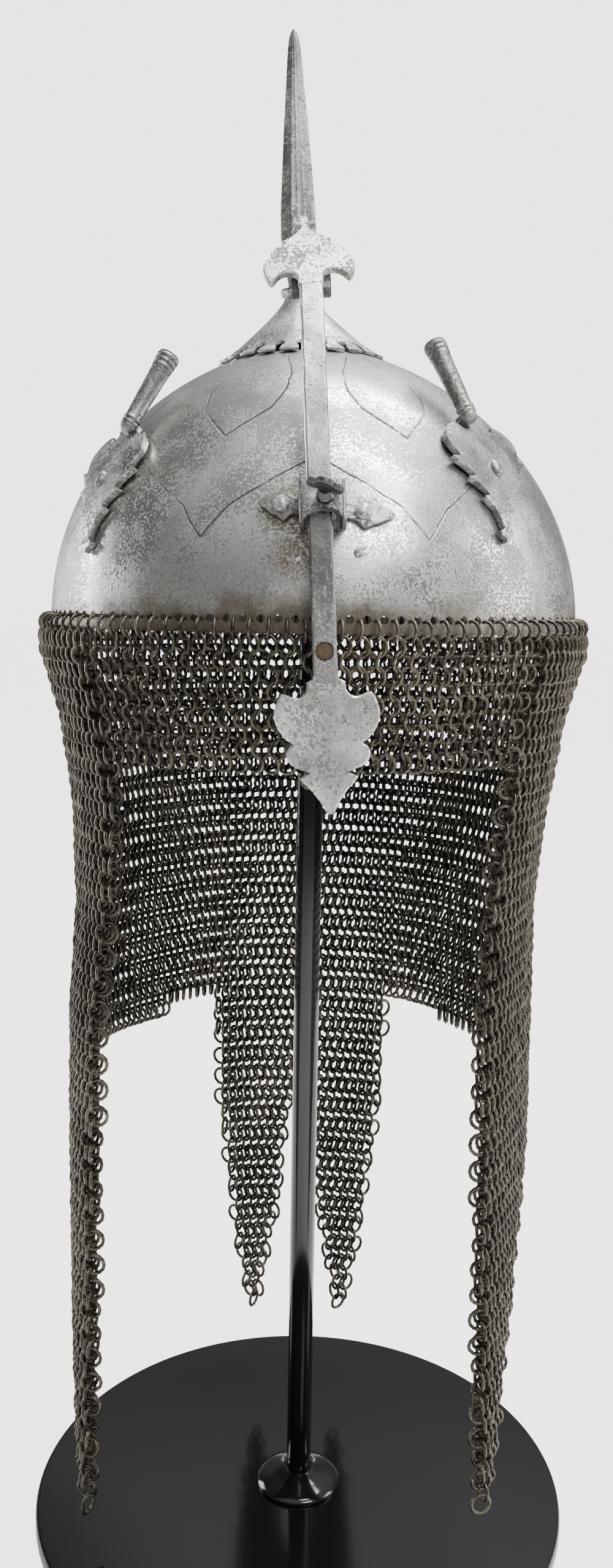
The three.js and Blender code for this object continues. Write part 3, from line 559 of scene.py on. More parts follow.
def at_bowl(turn, up, lift=0.0):
    """Takes a piece that stands on XY to the bowl's surface, its +Z pointing away from it"""
    foot = on_bowl(turn, up, lift)
    away = (on_bowl(turn, up, lift + 1) - foot).normalized()
    return Matrix.Translation(foot) @ away.to_track_quat("Z", "Y").to_matrix().to_4x4()


# Stand

class HELMET_OT_stand(bpy.types.Operator):
    """Builds the gloss black base disk, flange and pole, and gives the head its gloss black"""
    bl_idname = "helmet.stand"
    bl_label = "Stand"

    def execute(self, context):
        base = turned([(0, 0), (112.6, 0), (114.2, 0.5), (114.7, 1.4), (114.7, 5.6), (114.2, 6.5),
                       (112.6, 7), (0, 7)], 160)
        set_down(base, "base_disk", "black", "black_gloss", "root", "stand_base")
        flange = turned([(5.6, 7.3), (18.2, 7.3), (18.4, 8.0), (17.9, 8.9), (15.4, 10.1), (12.0, 11.2),
                         (9.0, 12.4), (7.2, 13.4), (6.4, 13.9), (5.6, 13.9)], 72)
        set_down(flange, "pole_flange", "black", "black_gloss", "root", "stand_flange", angle=50)
        low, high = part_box("stand_pole")
        long = (high.z - low.z) / MM
        pole = turned([(5.1, 0), (5.3, 0.3), (5.3, long - 0.3), (5.1, long)], 64)
        moved(pole, Matrix.Translation((0, 0, low.z / MM)) @ Matrix.Rotation(math.atan(1 / RIM_Z), 4, "Y"))
        set_down(pole, "pole", "black", "black_gloss", "root", "stand_pole")
        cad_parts["stand_head"].data.materials.clear()
        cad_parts["stand_head"].data.materials.append(finish_of("black"))
        return {"FINISHED"}


# Bowl

class HELMET_OT_bowl(bpy.types.Operator):
    """Builds the raised steel bowl with its ring of rim holes and old rivet hole"""
    bl_idname = "helmet.bowl"
    bl_label = "Bowl"

    def execute(self, context):
        count, side, hole, middle = sizes().ring_count, 3, 1.45, 4.9
        pitch, top, wall = 1.0 / count, 2 * middle, sizes().bowl_wall
        alone()
        bpy.ops.mesh.primitive_circle_add(vertices=4 * side, radius=1, fill_type="NOTHING")
        cell = bpy.context.object
        edit(cell, lambda: bpy.ops.mesh.extrude_edges_move(TRANSFORM_OT_translate={"value": (0, 0, 1)}))
        for vertex in cell.data.vertices:
            turn = math.atan2(vertex.co.y, vertex.co.x) + TURN / 8 / side
            if vertex.co.z < 0.5:
                vertex.co = (math.cos(turn) * hole / (TURN * BOWL_RADIUS), math.sin(turn) * hole, 0)
            else:
                reach = 1 / max(abs(math.cos(turn)), abs(math.sin(turn)))
                px, py = math.cos(turn) * reach, math.sin(turn) * reach
                grid = lambda s: round((s + 1) / 2 * side) / side * 2 - 1
                vertex.co = (grid(px) * pitch / 2, grid(py) * middle, 0)
        modify(cell, "ARRAY", count=count, use_relative_offset=False, use_constant_offset=True,
               constant_offset_displace=(pitch, 0, 0))
        rows = 40
        crown = blank(count * side, rows, lambda u, v: (u - pitch / 2, top + v * (BOWL_HIGH - top) - middle, 0))
        shell = merged([cell, crown])
        for vertex in shell.data.vertices:
            turn, up = (vertex.co.x + pitch) * TURN, vertex.co.y + middle
            if up > top:
                share = (up - top) / (BOWL_HIGH - top)
                up = top + (BOWL_HIGH - top) * math.sin(share * math.pi / 2) ** 0.92
            vertex.co = on_bowl(turn, min(up, BOWL_HIGH))
        edit(shell, weld, outwards)
        thick(shell, wall)
        drill = turned([(0.9, -6), (0.9, 6)], 16)
        cut(shell, moved(drill, at_bowl(OLD_HOLE[0] * DEG, OLD_HOLE[1])))
        set_down(shell, "helmet_bowl", "bowl", "bowl_steel", "root", "bowl", angle=30)
        stud = turned([(1.5, 0), (1.45, 0.5), (1.1, 0.95), (0.6, 1.2), (0, 1.3)], 24)
        moved(stud, at_bowl(STUD[0] * DEG, STUD[1], 0.1))
        set_down(stud, "small_stud", "palmette", "fitting_steel", "root", "bowl_stud", angle=60)
        return {"FINISHED"}


# Apex plate and spike

class HELMET_OT_apex(bpy.types.Operator):
    """Builds the flared apex plate with keyholes along its edge, and the four-edged spike"""
    bl_idname = "helmet.apex"
    bl_label = "Apex plate and spike"

    def execute(self, context):
        count, radius, high = sizes().keyholes, PLATE_RADIUS, 24.6
        curve = [(1.0, 0.0), (0.93, 0.05), (0.86, 0.115), (0.74, 0.235), (0.62, 0.37), (0.5, 0.51),
                 (0.41, 0.615), (0.335, 0.715), (0.27, 0.81), (0.22, 0.89), (0.19, 0.96), (0.182, 1.0)]

        def flare(u, v):
            at = v * (len(curve) - 1)
            i = min(int(at), len(curve) - 2)
            share = [a + (b - a) * (at - i) for a, b in zip(curve[i], curve[i + 1])]
            turn = u * TURN
            tab = abs((u * count) % 1 - 0.5) * 2
            edge = max(0.0, share[0] - 0.93) / 0.07
            out = radius * share[0] + edge * (0.9 - 1.5 * tab**2)
            return (out * math.sin(turn), -out * math.cos(turn), high * share[1] - 0.25 * edge)

        plate = edit(blank(count * 10, 22, flare), weld, outwards)
        thick(plate, 0.9)
        eye = [(2.1 * math.sin(t * DEG), 1.7 * math.cos(t * DEG)) for t in range(-150, 151, 20)]
        keyhole = [*eye, (0.9, -3), (1.0, -7), (-1.0, -7), (-0.9, -3)]
        cutters = []
        for i in range(count):
            place = Matrix.Rotation(i / count * TURN, 4, "Z") @ Matrix.Translation((0, -radius + 3.9, 0))
            cutters.append(moved(loft([[(x, y, z) for x, y in keyhole] for z in (-5, 14)]), place))
        cut(plate, merged(cutters))
        moved(plate, APEX @ Matrix.Translation((0, 0, 0.5)))
        set_down(plate, "crown_plate", "apex", "fitting_steel", "root", "apex_plate", angle=40)

        seat, tall, half = high + 0.3, 98.0, 7.1
        shape = [(0, 0.60), (0.03, 0.66), (0.1, 0.82), (0.2, 0.97), (0.3, 0.955), (0.48, 0.8), (0.65, 0.64),
                 (0.82, 0.46), (0.93, 0.34), (0.975, 0.24), (0.993, 0.13), (1, 0.05)]
        rings = []
        for i in range(61):
            share = (i / 60) ** 0.9
            k = next(k for k in range(1, len(shape)) if share <= shape[k][0] + 1e-9)
            (a, wa), (b, wb) = shape[k - 1], shape[k]
            wide = half * (wa + (wb - wa) * (share - a) / (b - a))
            ring = []
            for step in range(32):
                turn = step * TURN / 32
                facet = abs((step % 8) / 4 - 1)
                out = wide * (0.555 + 0.445 * facet**1.7)
                ring.append((out * math.sin(turn), -out * math.cos(turn), seat + 3.4 + share * (tall - 3.4)))
            rings.append(ring)
        blade = loft(rings)
        corners = (0, math.pi / 2, math.pi, 1.5 * math.pi)
        collar = loft([[(s * math.sin(t), -s * math.cos(t), z) for t in corners]
                       for z, s in ((seat, 7.0), (seat + 0.5, 7.6), (seat + 2.9, 7.6), (seat + 3.5, 6.9))])
        softened(collar, 0.4, 2, 30)
        stem = turned([(3, seat - 7.9), (3, seat + 0.5)], 24)
        spear = merged([blade, collar, stem])
        set_down(moved(spear, APEX), "crown_spike", "spike", "dark_steel", "root", "spike", angle=32)
        return {"FINISHED"}


# Nasal bar

LOW_PALMETTE = [
    (0, -0.03), (0.23, -0.03), (0.25, 0.0), (0.36, 0.022), (0.37, 0.07), (0.42, 0.105), (0.52, 0.132),
    (0.66, 0.128), (0.84, 0.1), (0.95, 0.18), (1, 0.265), (0.93, 0.36), (0.78, 0.44), (0.65, 0.475),
    (0.74, 0.5), (0.79, 0.545), (0.76, 0.6), (0.62, 0.65), (0.37, 0.69), (0.55, 0.727),
    (0.36, 0.81), (0.16, 0.92), (0.08, 0.985), (0, 1),
]
HIGH_PALMETTE = [
    (0, 0.0), (0.27, 0.0), (0.27, 0.12), (0.4, 0.18), (0.58, 0.185), (0.73, 0.13), (0.85, 0.055),
    (0.97, 0.155), (1, 0.275), (0.95, 0.36), (0.86, 0.42), (0.78, 0.43), (0.81, 0.47), (0.7, 0.55),
    (0.56, 0.59), (0.46, 0.605), (0.54, 0.635), (0.32, 0.7), (0.16, 0.77), (0.07, 0.855),
    (0.23, 0.885), (0.22, 0.918), (0.07, 0.913), (0.12, 0.965), (0, 1),
]


def mirrored(half, wide, long):
    right = [(out * wide, along * long) for out, along in half]
    left = [(-x, y) for x, y in reversed(right) if x > 1e-6]
    whole = right + left
    area = sum(a[0] * b[1] - b[0] * a[1] for a, b in zip(whole, whole[1:] + whole[:1]))
    return whole if area > 0 else whole[::-1]


class HELMET_OT_nasal(bpy.types.Operator):
    """Builds the sliding nasal bar with a palmette at each end, and its rusty plug"""
    bl_idname = "helmet.nasal"
    bl_label = "Nasal bar"

    def execute(self, context):
        half, deep, file = BAR_WIDE / 2, BAR_THICK / 2, 0.9
        section = [(-half, -deep), (half, -deep), (half, deep - file), (half - file * 0.4, deep - file * 0.3),
                   (half - file, deep), (file - half, deep), (file * 0.4 - half, deep - file * 0.3),
                   (-half, deep - file)]
        steps = 64
        rings = []
        for i in range(steps + 1):
            along = LOW_ROOT - 1 + (HIGH_ROOT + 5 - LOW_ROOT) * i / steps
            uneven = 1 + 0.018 * math.sin(i * 0.9) + 0.012 * math.sin(i * 2.3 + 1)
            rings.append([on_bar(along, out, across * uneven) for across, out in section])
        bar = loft(rings)
        cut(bar, moved(turned([(3.1, -1.2), (3.1, 2.0)], 32), at_bar(PLUG_AT, deep)))
        set_down(bar, "nasal_slider", "bar", "nasal_steel", "nasal", "nasal_bar", angle=20)

        low = cut_plate(rounded(mirrored(LOW_PALMETTE, 17.2, -43.8), 2), 2.2, 0.6, 0.6)
        moved(low, at_bar(LOW_ROOT, -1.4))
        set_down(low, "nasal_palmette_low", "palmette", "nasal_steel", "nasal", angle=25)
        high = cut_plate(rounded(mirrored(HIGH_PALMETTE, 15.5, 29.4), 2), 2.3, 0.4, 0.5)
        moved(high, at_bar(HIGH_ROOT, -1.1) @ Matrix.Rotation(3.5 * DEG, 4, "Z"))
        set_down(high, "nasal_palmette_high", "palmette", "nasal_steel", "nasal", angle=25)
        alone()
        bpy.ops.mesh.primitive_cube_add(size=1)
        block = moved(bpy.context.object, Matrix.Diagonal((13.6, 7, 5, 1)))
        softened(block, 0.8, 3, 30)
        moved(block, at_bar(HIGH_ROOT, -1.3 - 2.5) @ Matrix.Translation((0, 3.5, 0)))
        set_down(block, "nasal_block", "dark", "nasal_steel", "nasal", angle=40)

        plug = turned([(2.75, -0.9), (2.75, -0.6), (2.4, -0.42), (1.5, -0.5), (0, -0.42)], 32)
        moved(plug, at_bar(PLUG_AT, deep))
        set_down(plug, "nasal_plug_rust", "rust", "brown_plug", "nasal", "nasal_plug", angle=40)
        return {"FINISHED"}


# Bracket, its rivets and the set screw

BRACKET_CURVE = [
    (0, 0.66), (0.1, 0.52), (0.2, 0.5), (0.3, 0.66), (0.38, 0.94), (0.44, 1.0), (0.52, 0.86),
    (0.6, 0.7), (0.68, 0.66), (0.76, 0.52), (0.84, 0.36), (0.9, 0.3), (0.95, 0.2), (1, 0.05),
]


def leaf(curve, wide, long, place, deep, across=8, bulge=0.0):
    """A leaf that lies on the bowl: rows of its outline set side by side, then thickened"""
    rows, steps = [], 3
    for (a, wa), (b, wb) in zip(curve, curve[1:]):
        rows += [(a + (b - a) * s / steps, wa + (wb - wa) * s / steps) for s in range(steps)]
    rows.append(curve[-1])
    last = len(rows) - 1

    def shape(u, v):
        along, half = rows[round(v * last)]
        off = (u * 2 - 1) * half * wide
        turn, up = place(along * long, off)
        return on_bowl(turn, up, 0.35 + bulge * off * off / (2 * BOWL_RADIUS))

    piece = edit(blank(across, last, shape), weld, outwards)
    middle = piece.data.polygons[len(piece.data.polygons) // 2]
    away = middle.normal.dot(Vector((middle.center.x, middle.center.y, 0)))
    thick(piece, deep, 1.0 if away > 0 else -1.0)
    return piece


class HELMET_OT_bracket(bpy.types.Operator):
    """Builds the forged bracket over the bar, its two domed rivets and the set screw"""
    bl_idname = "helmet.bracket"
    bl_label = "Bracket and set screw"

    def execute(self, context):
        inside, wall, room, tall, deep = BAR_WIDE / 2 + 1.7, 1.9, BAR_THICK / 2 + 0.7, 13.6, 7.4
        outside = inside + wall
        outline = [(-outside, -deep), (-inside, -deep), (-inside, room), (inside, room), (inside, -deep),
                   (outside, -deep), (outside, room + 0.6), (outside - 0.35, room + 1.25),
                   (outside - 1.0, room + 1.7), (outside - 1.8, room + wall), (1.8 - outside, room + wall),
                   (1.0 - outside, room + 1.7), (0.35 - outside, room + 1.25), (-outside, room + 0.6)]
        strap = loft([[(x, h, z) for x, z in outline] for h in (-tall / 2, -tall / 4, 0, tall / 4, tall / 2)])
        arch = moved(turned([(1, -8), (1, 8)], 40), Matrix.Translation((0, -tall / 2, room))
                     @ Matrix.Diagonal((inside + 0.6, 0.55 * (inside + 0.6), 1, 1)))
        cut(strap, arch)
        spot = Matrix.Translation((SCREW_ASIDE - BRACKET_ASIDE, SCREW_AT - BRACKET_AT, room))
        cut(strap, moved(turned([(2.7, -8), (2.7, 8)], 32), spot))
        softened(strap, 0.35, 2, 40)
        moved(strap, at_bar(BRACKET_AT, 0, BRACKET_ASIDE))
        middle = on_bar(BRACKET_AT, 0, BRACKET_ASIDE)
        up = middle.z - RIM_Z - 1.5
        radius = bowl_radius(up)
        lean = BOWL_X + CROWN_SHIFT * (up / BOWL_HIGH) ** 2
        turn = math.asin((middle.x - lean) / radius)
        sides = []
        slope = 0.08
        for side in (-1, 1):
            long = 14.6 if side < 0 else 17.4

            def place(along, off):
                out = side * (inside + 0.5 + along)
                return turn + out / radius, up - slope * out + off
            sides.append(softened(leaf(BRACKET_CURVE, 5.2, long, place, 1.5), 0.45, 2, 40))
        clasp = merged([strap, *sides])
        set_down(clasp, "nasal_clasp", "clasp", "fitting_steel", "root", "nasal_bracket", angle=35)
        for side, name in ((-1, "left"), (1, "right")):
            out = side * 13.2
            rivet = turned([(2.9, -0.3), (2.95, 0.25), (2.7, 1.1), (2.1, 1.75), (1.3, 2.15), (0, 2.35)], 32)
            moved(rivet, at_bowl(turn + out / radius, up - slope * out, 1.9))
            set_down(rivet, "clasp_rivet_" + name, "palmette", "fitting_steel", "root",
                     "bracket_rivet_" + name, angle=60)

        profile, long = [(1.9, 0)], 9.0
        for i in range(1, 20):
            profile.append((2.4 if i % 2 else 2.0, i * long / 20))
        profile.append((1.9, long))
        shank = turned(profile, 28)
        lobes = []
        thumb_wide, thumb_high = 11.6, 8
        coin = ((0.0, -1), (0.86, -1), (1, -0.6), (1, 0.6), (0.86, 1), (0.0, 1))
        for x, y, size in ((-0.29, 0.42, 0.24), (0.29, 0.42, 0.24), (0, 0.72, 0.28), (0, 0.3, 0.25)):
            lobe = turned([(size * thumb_wide * s, h) for s, h in coin], 28)
            place = Matrix.Translation((x * thumb_wide, 0, y * thumb_high + long - 1))
            lobes.append(moved(lobe, place @ Matrix.Rotation(math.pi / 2, 4, "X")))
        screw = merged([shank, *lobes])
        spot = at_bar(SCREW_AT, BAR_THICK / 2 + 0.3, SCREW_ASIDE)
        moved(screw, spot @ Matrix.Rotation(-18 * DEG, 4, "Z"))
        set_down(screw, "thumb_screw", "dark", "dark_steel", "screw", "set_screw", angle=35)
        return {"FINISHED"}


# Plume holders

HOLDER_CURVE = [
    (0, 0.02), (0.03, 0.04), (0.05, 0.16), (0.075, 0.17), (0.1, 0.06), (0.13, 0.1), (0.18, 0.15), (0.24, 0.24),
    (0.3, 0.4), (0.325, 0.47), (0.34, 0.33), (0.38, 0.4), (0.43, 0.58), (0.465, 0.77), (0.48, 0.59),
    (0.53, 0.68), (0.59, 0.88), (0.62, 1.03), (0.635, 0.82), (0.68, 0.88), (0.73, 0.96), (0.78, 1),
    (0.83, 0.97), (0.87, 0.92), (0.92, 0.8), (0.95, 0.64), (0.962, 0.4), (1.0, 0.34), (1.05, 0.31),
]


class HELMET_OT_holders(bpy.types.Operator):
    """Builds the two plume holders: a leaf on the bowl with a ringed tube, and its oval rivet"""
    bl_idname = "helmet.holders"
    bl_label = "Plume holders"

    def execute(self, context):
        long, half, deep, lean, tall = 49.0, 19.6, 2.4, 33, 34.0
        for name, turn, tip, slant in (("left", -54.5, 26, 6), ("right", 44, 31, -7)):
            def place(along, off):
                up = climb(tip, along)
                return (turn + slant * (0.5 - along / long)) * DEG + off / bowl_radius(up), up

            plate = leaf(HOLDER_CURVE, half, long, place, deep, 10, 0.55)
            for side in (-1, 1):
                spot = place(0.95 * long, side * 0.36 * half)
                cut(plate, moved(turned([(2.4, -9), (2.4, 12)], 24), at_bowl(*spot)))
            softened(plate, 0.6, 2, 50)
            set_down(plate, "plume_leaf_" + name, "fitting", "fitting_steel", "root",
                     "plume_holder_" + name, angle=35)

            base_turn, base_up = place(0.93 * long, -math.copysign(5.5, turn))
            foot = on_bowl(base_turn, base_up, 0.3 + 4.4 + 0.4)
            width = lambda at: 2.75 + 1.1 * at / tall
            profile = [(1.6, 0), (2.2, 0.5), (2.6, 1.4), (2.85, 2.4)]
            beads = ((3.6, 0.35), (5.4, 0.4), (tall - 5.4, 0.25), (tall - 3.4, 0.4), (tall - 1.4, 0.45))
            for at, proud in beads:
                profile += [(width(at) + proud * k, at + h)
                            for k, h in ((0, -0.9), (0.75, -0.5), (1, 0), (0.75, 0.5), (0, 0.9))]
            profile += [(width(tall) + 0.1, tall), (3.5, tall), (3.4, tall - 0.4), (2.0, 6), (0, 6)]
            tube = turned(profile, 48)
            stand = Matrix.Rotation(base_turn, 4, "Z") @ Matrix.Rotation(-lean * DEG, 4, "X")
            moved(tube, Matrix.Translation(foot) @ stand)
            set_down(tube, "plume_tube_" + name, "tube", "fitting_steel", "root", angle=30)

            rivet = turned([(2.2, -0.3), (2.2, 0.3), (1.9, 0.9), (1.2, 1.35), (0, 1.55)], 28)
            spot = place(0.56 * long, 0)
            moved(rivet, at_bowl(*spot, deep + 0.6) @ Matrix.Diagonal((1, 1.5, 1, 1)))
            set_down(rivet, "plume_rivet_" + name, "tube", "fitting_steel", "root",
                     "holder_rivet_" + name, angle=60)
        return {"FINISHED"}


# Mail curtain

# Columns: turn from the front in degrees, share of the depth of the front, a point, the low edge or the rear
MAIL_EDGE = [
    (0, "front", 1.03), (9, "front", 1.02), (18, "front", 1), (27, "front", 0.98), (36, "front", 0.96),
    (44, "front", 0.95), (49, "front", 1.15), (50.5, "point", 0.5), (54, "point", 0.78), (59, "point", 1),
    (63, "point", 0.95), (68, "point", 0.87), (75, "point", 0.76), (83, "point", 0.65), (91, "point", 0.56),
    (99, "low", 1.04), (108, "low", 1), (117, "low", 1.01), (126, "low", 1), (135, "low", 1),
    (144, "low", 0.98), (153.5, "low", 0.97), (155.5, "rear", 0.66), (159, "rear", 0.8), (162.5, "rear", 0.92),
    (166.5, "rear", 1), (169.5, "rear", 0.94), (173, "rear", 0.84), (176.5, "rear", 0.7), (180, "rear", 0.645),
]
# Rows of the mail: depth of the first, share of the row pitch and lean in the face sheet and the cape
FIRST_ROW = 3.9
FACE_SHARE, FACE_LEAN = 0.88, 24.0
CAPE_SHARE, CAPE_LEAN = 0.93, 50.0
SEAM, REAR_SEAM = 48, 108  # degrees from the front where the mail's pieces meet
EDGE_ROOM = 2.6  # from a ring's middle to the mail's edge
MAIL_DEPTHS = {"front": 49.5, "low": 184.0, "point": 372.0, "rear": 353.0}
RIGHT_POINT_UP = 14.0
# Columns, as shares of the bowl's radius: depth below the rim, distance in from the mail's top
MAIL_HANG = [
    (-0.05, 0), (0.08, 0), (0.19, 0.025), (0.32, 0.052), (0.67, 0.103), (1.04, 0.122), (1.44, 0.108),
    (1.96, 0.102), (4.5, 0.112),
]


def mail_edge(turn):
    """Depth of the mail's edge at turns in radians, where right of the face is positive"""
    degrees = np.degrees((turn + math.pi) % TURN - math.pi)
    at = [row[0] for row in MAIL_EDGE]
    left = [share * MAIL_DEPTHS[kind] for _, kind, share in MAIL_EDGE]
    right = [share * (MAIL_DEPTHS[kind] - (RIGHT_POINT_UP if kind == "point" else 0))
             for _, kind, share in MAIL_EDGE]
    return np.where(degrees > 0, np.interp(abs(degrees), at, right), np.interp(abs(degrees), at, left))


def on_mail(turn, depth):
    """Places on the middle of the mail's sheet, for arrays of turns and depths"""
    radius = MAIL_SEAT + MAIL_WALL / 2 - BOWL_RADIUS * np.interp(depth / BOWL_RADIUS, *np.array(MAIL_HANG).T)
    loose = np.clip((depth - 60) / 90, 0, 1)
    radius = radius + 1.3 * loose * np.cos(7 * turn + 0.6)
    degrees = abs(np.degrees((turn + math.pi) % TURN - math.pi))
    way = turn - 4.2 * DEG * loose * np.interp(degrees, [0, 50, 75, 135, 180], [1, 1, 1, 0, 0])
    x = BOWL_X - 3.4 * loose + radius * np.sin(way)
    return np.stack([x, -radius * np.cos(way), RIM_Z - depth], -1)


class HELMET_OT_mail(bpy.types.Operator):
    """Builds the mail curtain; most rings pass through two above and two below, and some touch or overlap"""
    bl_idname = "helmet.mail"
    bl_label = "Mail curtain"

    def weave(self, count, apart, lean, low, high):
        """Turns, depths and leans of the rings of a sheet between two turns from the front, in degrees"""
        row, column = np.meshgrid(np.arange(80), np.arange(count), indexing="ij")
        turn = (column + 0.5 + 0.5 * (row % 2)) / count * TURN
        depth = FIRST_ROW + apart * row
        degrees = abs(np.degrees((turn + math.pi) % TURN - math.pi))
        held = (depth + EDGE_ROOM < mail_edge(turn)) & (degrees >= low) & (degrees < high)
        for r in range(1, len(held)):
            held[r] &= held[r - 1] | np.roll(held[r - 1], -1 if r % 2 else 1)
        return turn[held], depth[held], np.where(row % 2, -lean, lean)[held]

    def execute(self, context):
        setting = sizes()
        count, apart = setting.ring_count, setting.ring_rows
        rim = (np.arange(count) + 0.5) / count * TURN
        face = self.weave(count, apart * FACE_SHARE, FACE_LEAN, 0, 47.6)
        cape = self.weave(count * 4 // 3, apart * CAPE_SHARE, CAPE_LEAN, 48.4, 181)
        at_holes = (rim, rim * 0 - 1.3, rim * 0 + 82)
        turn, depth, angle = (np.concatenate(parts) for parts in zip(at_holes, face, cape))
        at_rim = np.arange(len(turn)) < count
        in_cape = np.arange(len(turn)) >= count + len(face[0])

        random_place = np.random.default_rng(7)
        spot = on_mail(turn, depth)
        side = on_mail(turn + 0.002, depth) - spot
        side /= np.linalg.norm(side, axis=1)[:, None]
        rise = spot - on_mail(turn, depth + 0.2)
        rise -= side * (rise * side).sum(1)[:, None]
        rise /= np.linalg.norm(rise, axis=1)[:, None]
        away = np.cross(side, rise)
        scale = np.where(in_cape, 1.0, FACE_SHARE)
        of_cape, of_face = np.interp(depth, [0, 35], [0, 2.3]), np.interp(depth, [0, 12], [0, 0.8])
        inset = np.where(at_rim, 0.9, np.where(in_cape, of_cape, of_face))
        spot -= away * inset[:, None]
        spot += random_place.normal(0, 0.1, spot.shape)
        angle = np.radians(angle + random_place.normal(0, 3.0, len(turn)))
        nod = random_place.normal(0, 2.5 * DEG, len(turn))
        wide = side * np.cos(angle)[:, None] + away * np.sin(angle)[:, None]
        face = np.cross(wide, rise)
        tall = rise * np.cos(nod)[:, None] + face * np.sin(nod)[:, None]
        face = np.cross(wide, tall)

        wire = setting.ring_wire / 2
        alone()
        bpy.ops.mesh.primitive_torus_add(major_segments=12, minor_segments=5, minor_radius=wire,
                                         major_radius=setting.ring_across / 2 - wire)
        link = bpy.context.object
        shape = np.array([v.co for v in link.data.vertices])
        quads = np.array([p.vertices for p in link.data.polygons])
        bpy.data.objects.remove(link)

        degrees = np.degrees((turn + math.pi) % TURN - math.pi)
        parts = {
            "mail_face": abs(degrees) < SEAM,
            "mail_left": (degrees <= -SEAM) & (degrees > -REAR_SEAM),
            "mail_right": (degrees >= SEAM) & (degrees < REAR_SEAM),
            "mail_rear_left": degrees <= -REAR_SEAM,
            "mail_rear_right": degrees >= REAR_SEAM,
        }
        for name, chosen in parts.items():
            frames = np.stack([wide[chosen], tall[chosen], face[chosen]], 1) * scale[chosen][:, None, None]
            places = np.einsum("vk,nkc->nvc", shape, frames) + spot[chosen][:, None, :]
            total = int(chosen.sum())
            faces = (quads[None] + (np.arange(total) * len(shape))[:, None, None]).reshape(-1, 4)
            mesh = bpy.data.meshes.new(name)
            mesh.from_pydata(places.reshape(-1, 3).tolist(), [], faces.tolist())
            mesh.update()
            piece = bpy.data.objects.new(name, mesh)
            bpy.context.scene.collection.objects.link(piece)
            set_down(piece, name, "mail", "mail_iron", "root", "mail_curtain", angle=80)
        return {"FINISHED"}


# Stage

# Strengths that the camera sees behind the object
FLOOR_GLOW, SKY_GLOW = 3.7, 3.25
# The photograph's camera: place in metres, angles in radians, focal length and height in pixels
CAMERA_PLACE = (0, -0.5267, 0.3948)
CAMERA_PITCH, CAMERA_ROLL, CAMERA_YAW = 0.1411, 0.0144, -0.0014
FOCAL_PIXELS, PHOTO_PIXELS = 2106, 2556


def lamp(name, place, target, power, wide, high):
    alone()
    bpy.ops.object.light_add(type="AREA", location=place)
    light = bpy.context.object
    light.name = name
    light.data.shape = "RECTANGLE"
    light.data.size, light.data.size_y, light.data.energy = wide, high, power
    light.visible_camera = False
    light.rotation_euler = (Vector(target) - Vector(place)).to_track_quat("-Z", "Y").to_euler()


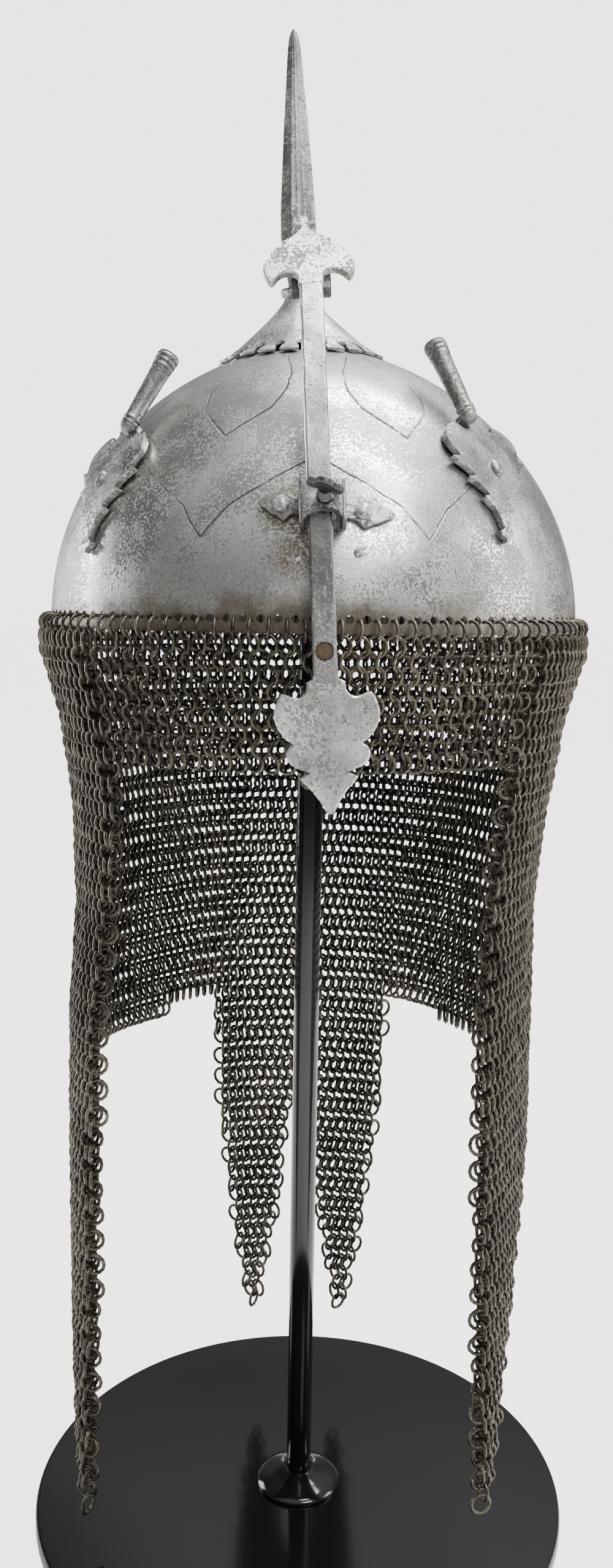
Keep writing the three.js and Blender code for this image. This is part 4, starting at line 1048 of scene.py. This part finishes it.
class HELMET_OT_stage(bpy.types.Operator):
    """Sets up the pale floor, the soft studio light and the camera"""
    bl_idname = "helmet.stage"
    bl_label = "Stage"

    def execute(self, context):
        alone()
        bpy.ops.mesh.primitive_plane_add(size=40, location=(0, 0, -0.0005))
        floor = bpy.context.object
        floor.name = "studio_floor"
        f = Finish("pale_floor")
        grain = f.noise(60, 4, 0.6)
        f.done(f.blend(grain, (0.8, 0.8, 0.8), (0.86, 0.86, 0.86)), 0.7, 0.0)
        paper = f.node("ShaderNodeEmission", {}, {"Color": (1.0, 1.0, 0.99, 1), "Strength": FLOOR_GLOW})
        seen = f.node("ShaderNodeLightPath", {}, {}, "Is Camera Ray")
        shader = Signal(f, f.shader.outputs[0])
        shown = f.node("ShaderNodeMixShader", {}, {0: seen * 0.85, 1: shader, 2: paper})
        f.tree.links.new(shown.socket, f.tree.nodes["Material Output"].inputs["Surface"])
        floor.data.materials.append(f.material)
        world = bpy.data.worlds.new("studio")
        world.use_nodes = True
        bpy.context.scene.world = world
        sky = Nodes(world.node_tree)
        split = sky.node("ShaderNodeSeparateXYZ", {}, {0: sky.node("ShaderNodeTexCoord", {}, {}, "Generated")})
        east, north, height = (Signal(sky, split.socket.node.outputs[i]) for i in range(3))
        gap = (height * 0.63 - east * 0.73 + north * 0.28).between(0.74, 0.93)
        seen = sky.node("ShaderNodeLightPath", {}, {}, "Is Camera Ray")
        light = seen * SKY_GLOW + (1.0 - seen) * (0.24 + height.between(0.25, 0.85) * 0.72) * (1.0 - gap * 0.8)
        backdrop = world.node_tree.nodes["Background"].inputs
        sky.tree.links.new(light.socket, backdrop["Strength"])
        backdrop["Color"].default_value = (1.0, 0.997, 0.99, 1)
        lamp("top_light", (0.42, 0.05, 2.0), (0, 0, 0.42), 92, 1.3, 0.9)
        lamp("front_light", (0.7, -1.2, 1.6), (0, 0, 0.3), 20, 0.7, 0.7)
        lamp("left_light", (-1.39, 0.77, 0.54), (0, 0, 0.4), 22, 0.6, 0.9)
        lamp("right_light", (1.7, 0.0, 0.9), (0, 0, 0.4), 24, 0.7, 0.9)

        pitch, roll, yaw = CAMERA_PITCH, CAMERA_ROLL, CAMERA_YAW
        gaze = Vector((math.sin(yaw) * math.cos(pitch), math.cos(yaw) * math.cos(pitch), -math.sin(pitch)))
        right = Vector((math.cos(yaw), -math.sin(yaw), 0))
        top = right.cross(gaze)
        across = right * math.cos(roll) + top * math.sin(roll)
        above = top * math.cos(roll) - right * math.sin(roll)
        alone()
        bpy.ops.object.camera_add(location=CAMERA_PLACE)
        camera = bpy.context.object
        camera.rotation_euler = Matrix((across, above, -gaze)).transposed().to_euler()
        camera.data.sensor_width = 36
        camera.data.lens = FOCAL_PIXELS / PHOTO_PIXELS * 36
        camera.data.clip_start, camera.data.clip_end = 0.01, 100
        bpy.context.scene.camera = camera
        return {"FINISHED"}


OPERATORS = (HELMET_OT_stand, HELMET_OT_bowl, HELMET_OT_apex, HELMET_OT_nasal, HELMET_OT_bracket,
             HELMET_OT_holders, HELMET_OT_mail, HELMET_OT_stage)


class HELMET_PT_panel(bpy.types.Panel):
    """Lists the helmet's sizes, finishes and building steps"""
    bl_idname = "HELMET_PT_panel"
    bl_label = "Helmet"
    bl_space_type = "VIEW_3D"
    bl_region_type = "UI"
    bl_category = "Helmet"

    def draw(self, context):
        for group in (context.scene.helmet_sizes, context.scene.helmet_finishes):
            for name in group.__annotations__:
                self.layout.prop(group, name)
        for operator in OPERATORS:
            self.layout.operator(operator.bl_idname)


CLASSES = (HelmetSizes, HelmetFinishes, *OPERATORS, HELMET_PT_panel)


def register():
    for kind in CLASSES:
        bpy.utils.register_class(kind)
    bpy.types.Scene.helmet_sizes = bpy.props.PointerProperty(type=HelmetSizes)
    bpy.types.Scene.helmet_finishes = bpy.props.PointerProperty(type=HelmetFinishes)


def unregister():
    del bpy.types.Scene.helmet_sizes, bpy.types.Scene.helmet_finishes
    for kind in reversed(CLASSES):
        bpy.utils.unregister_class(kind)


def main():
    register()
    for operator in OPERATORS:
        group, name = operator.bl_idname.split(".")
        getattr(getattr(bpy.ops, group), name)()


if __name__ == "__main__":
    main()
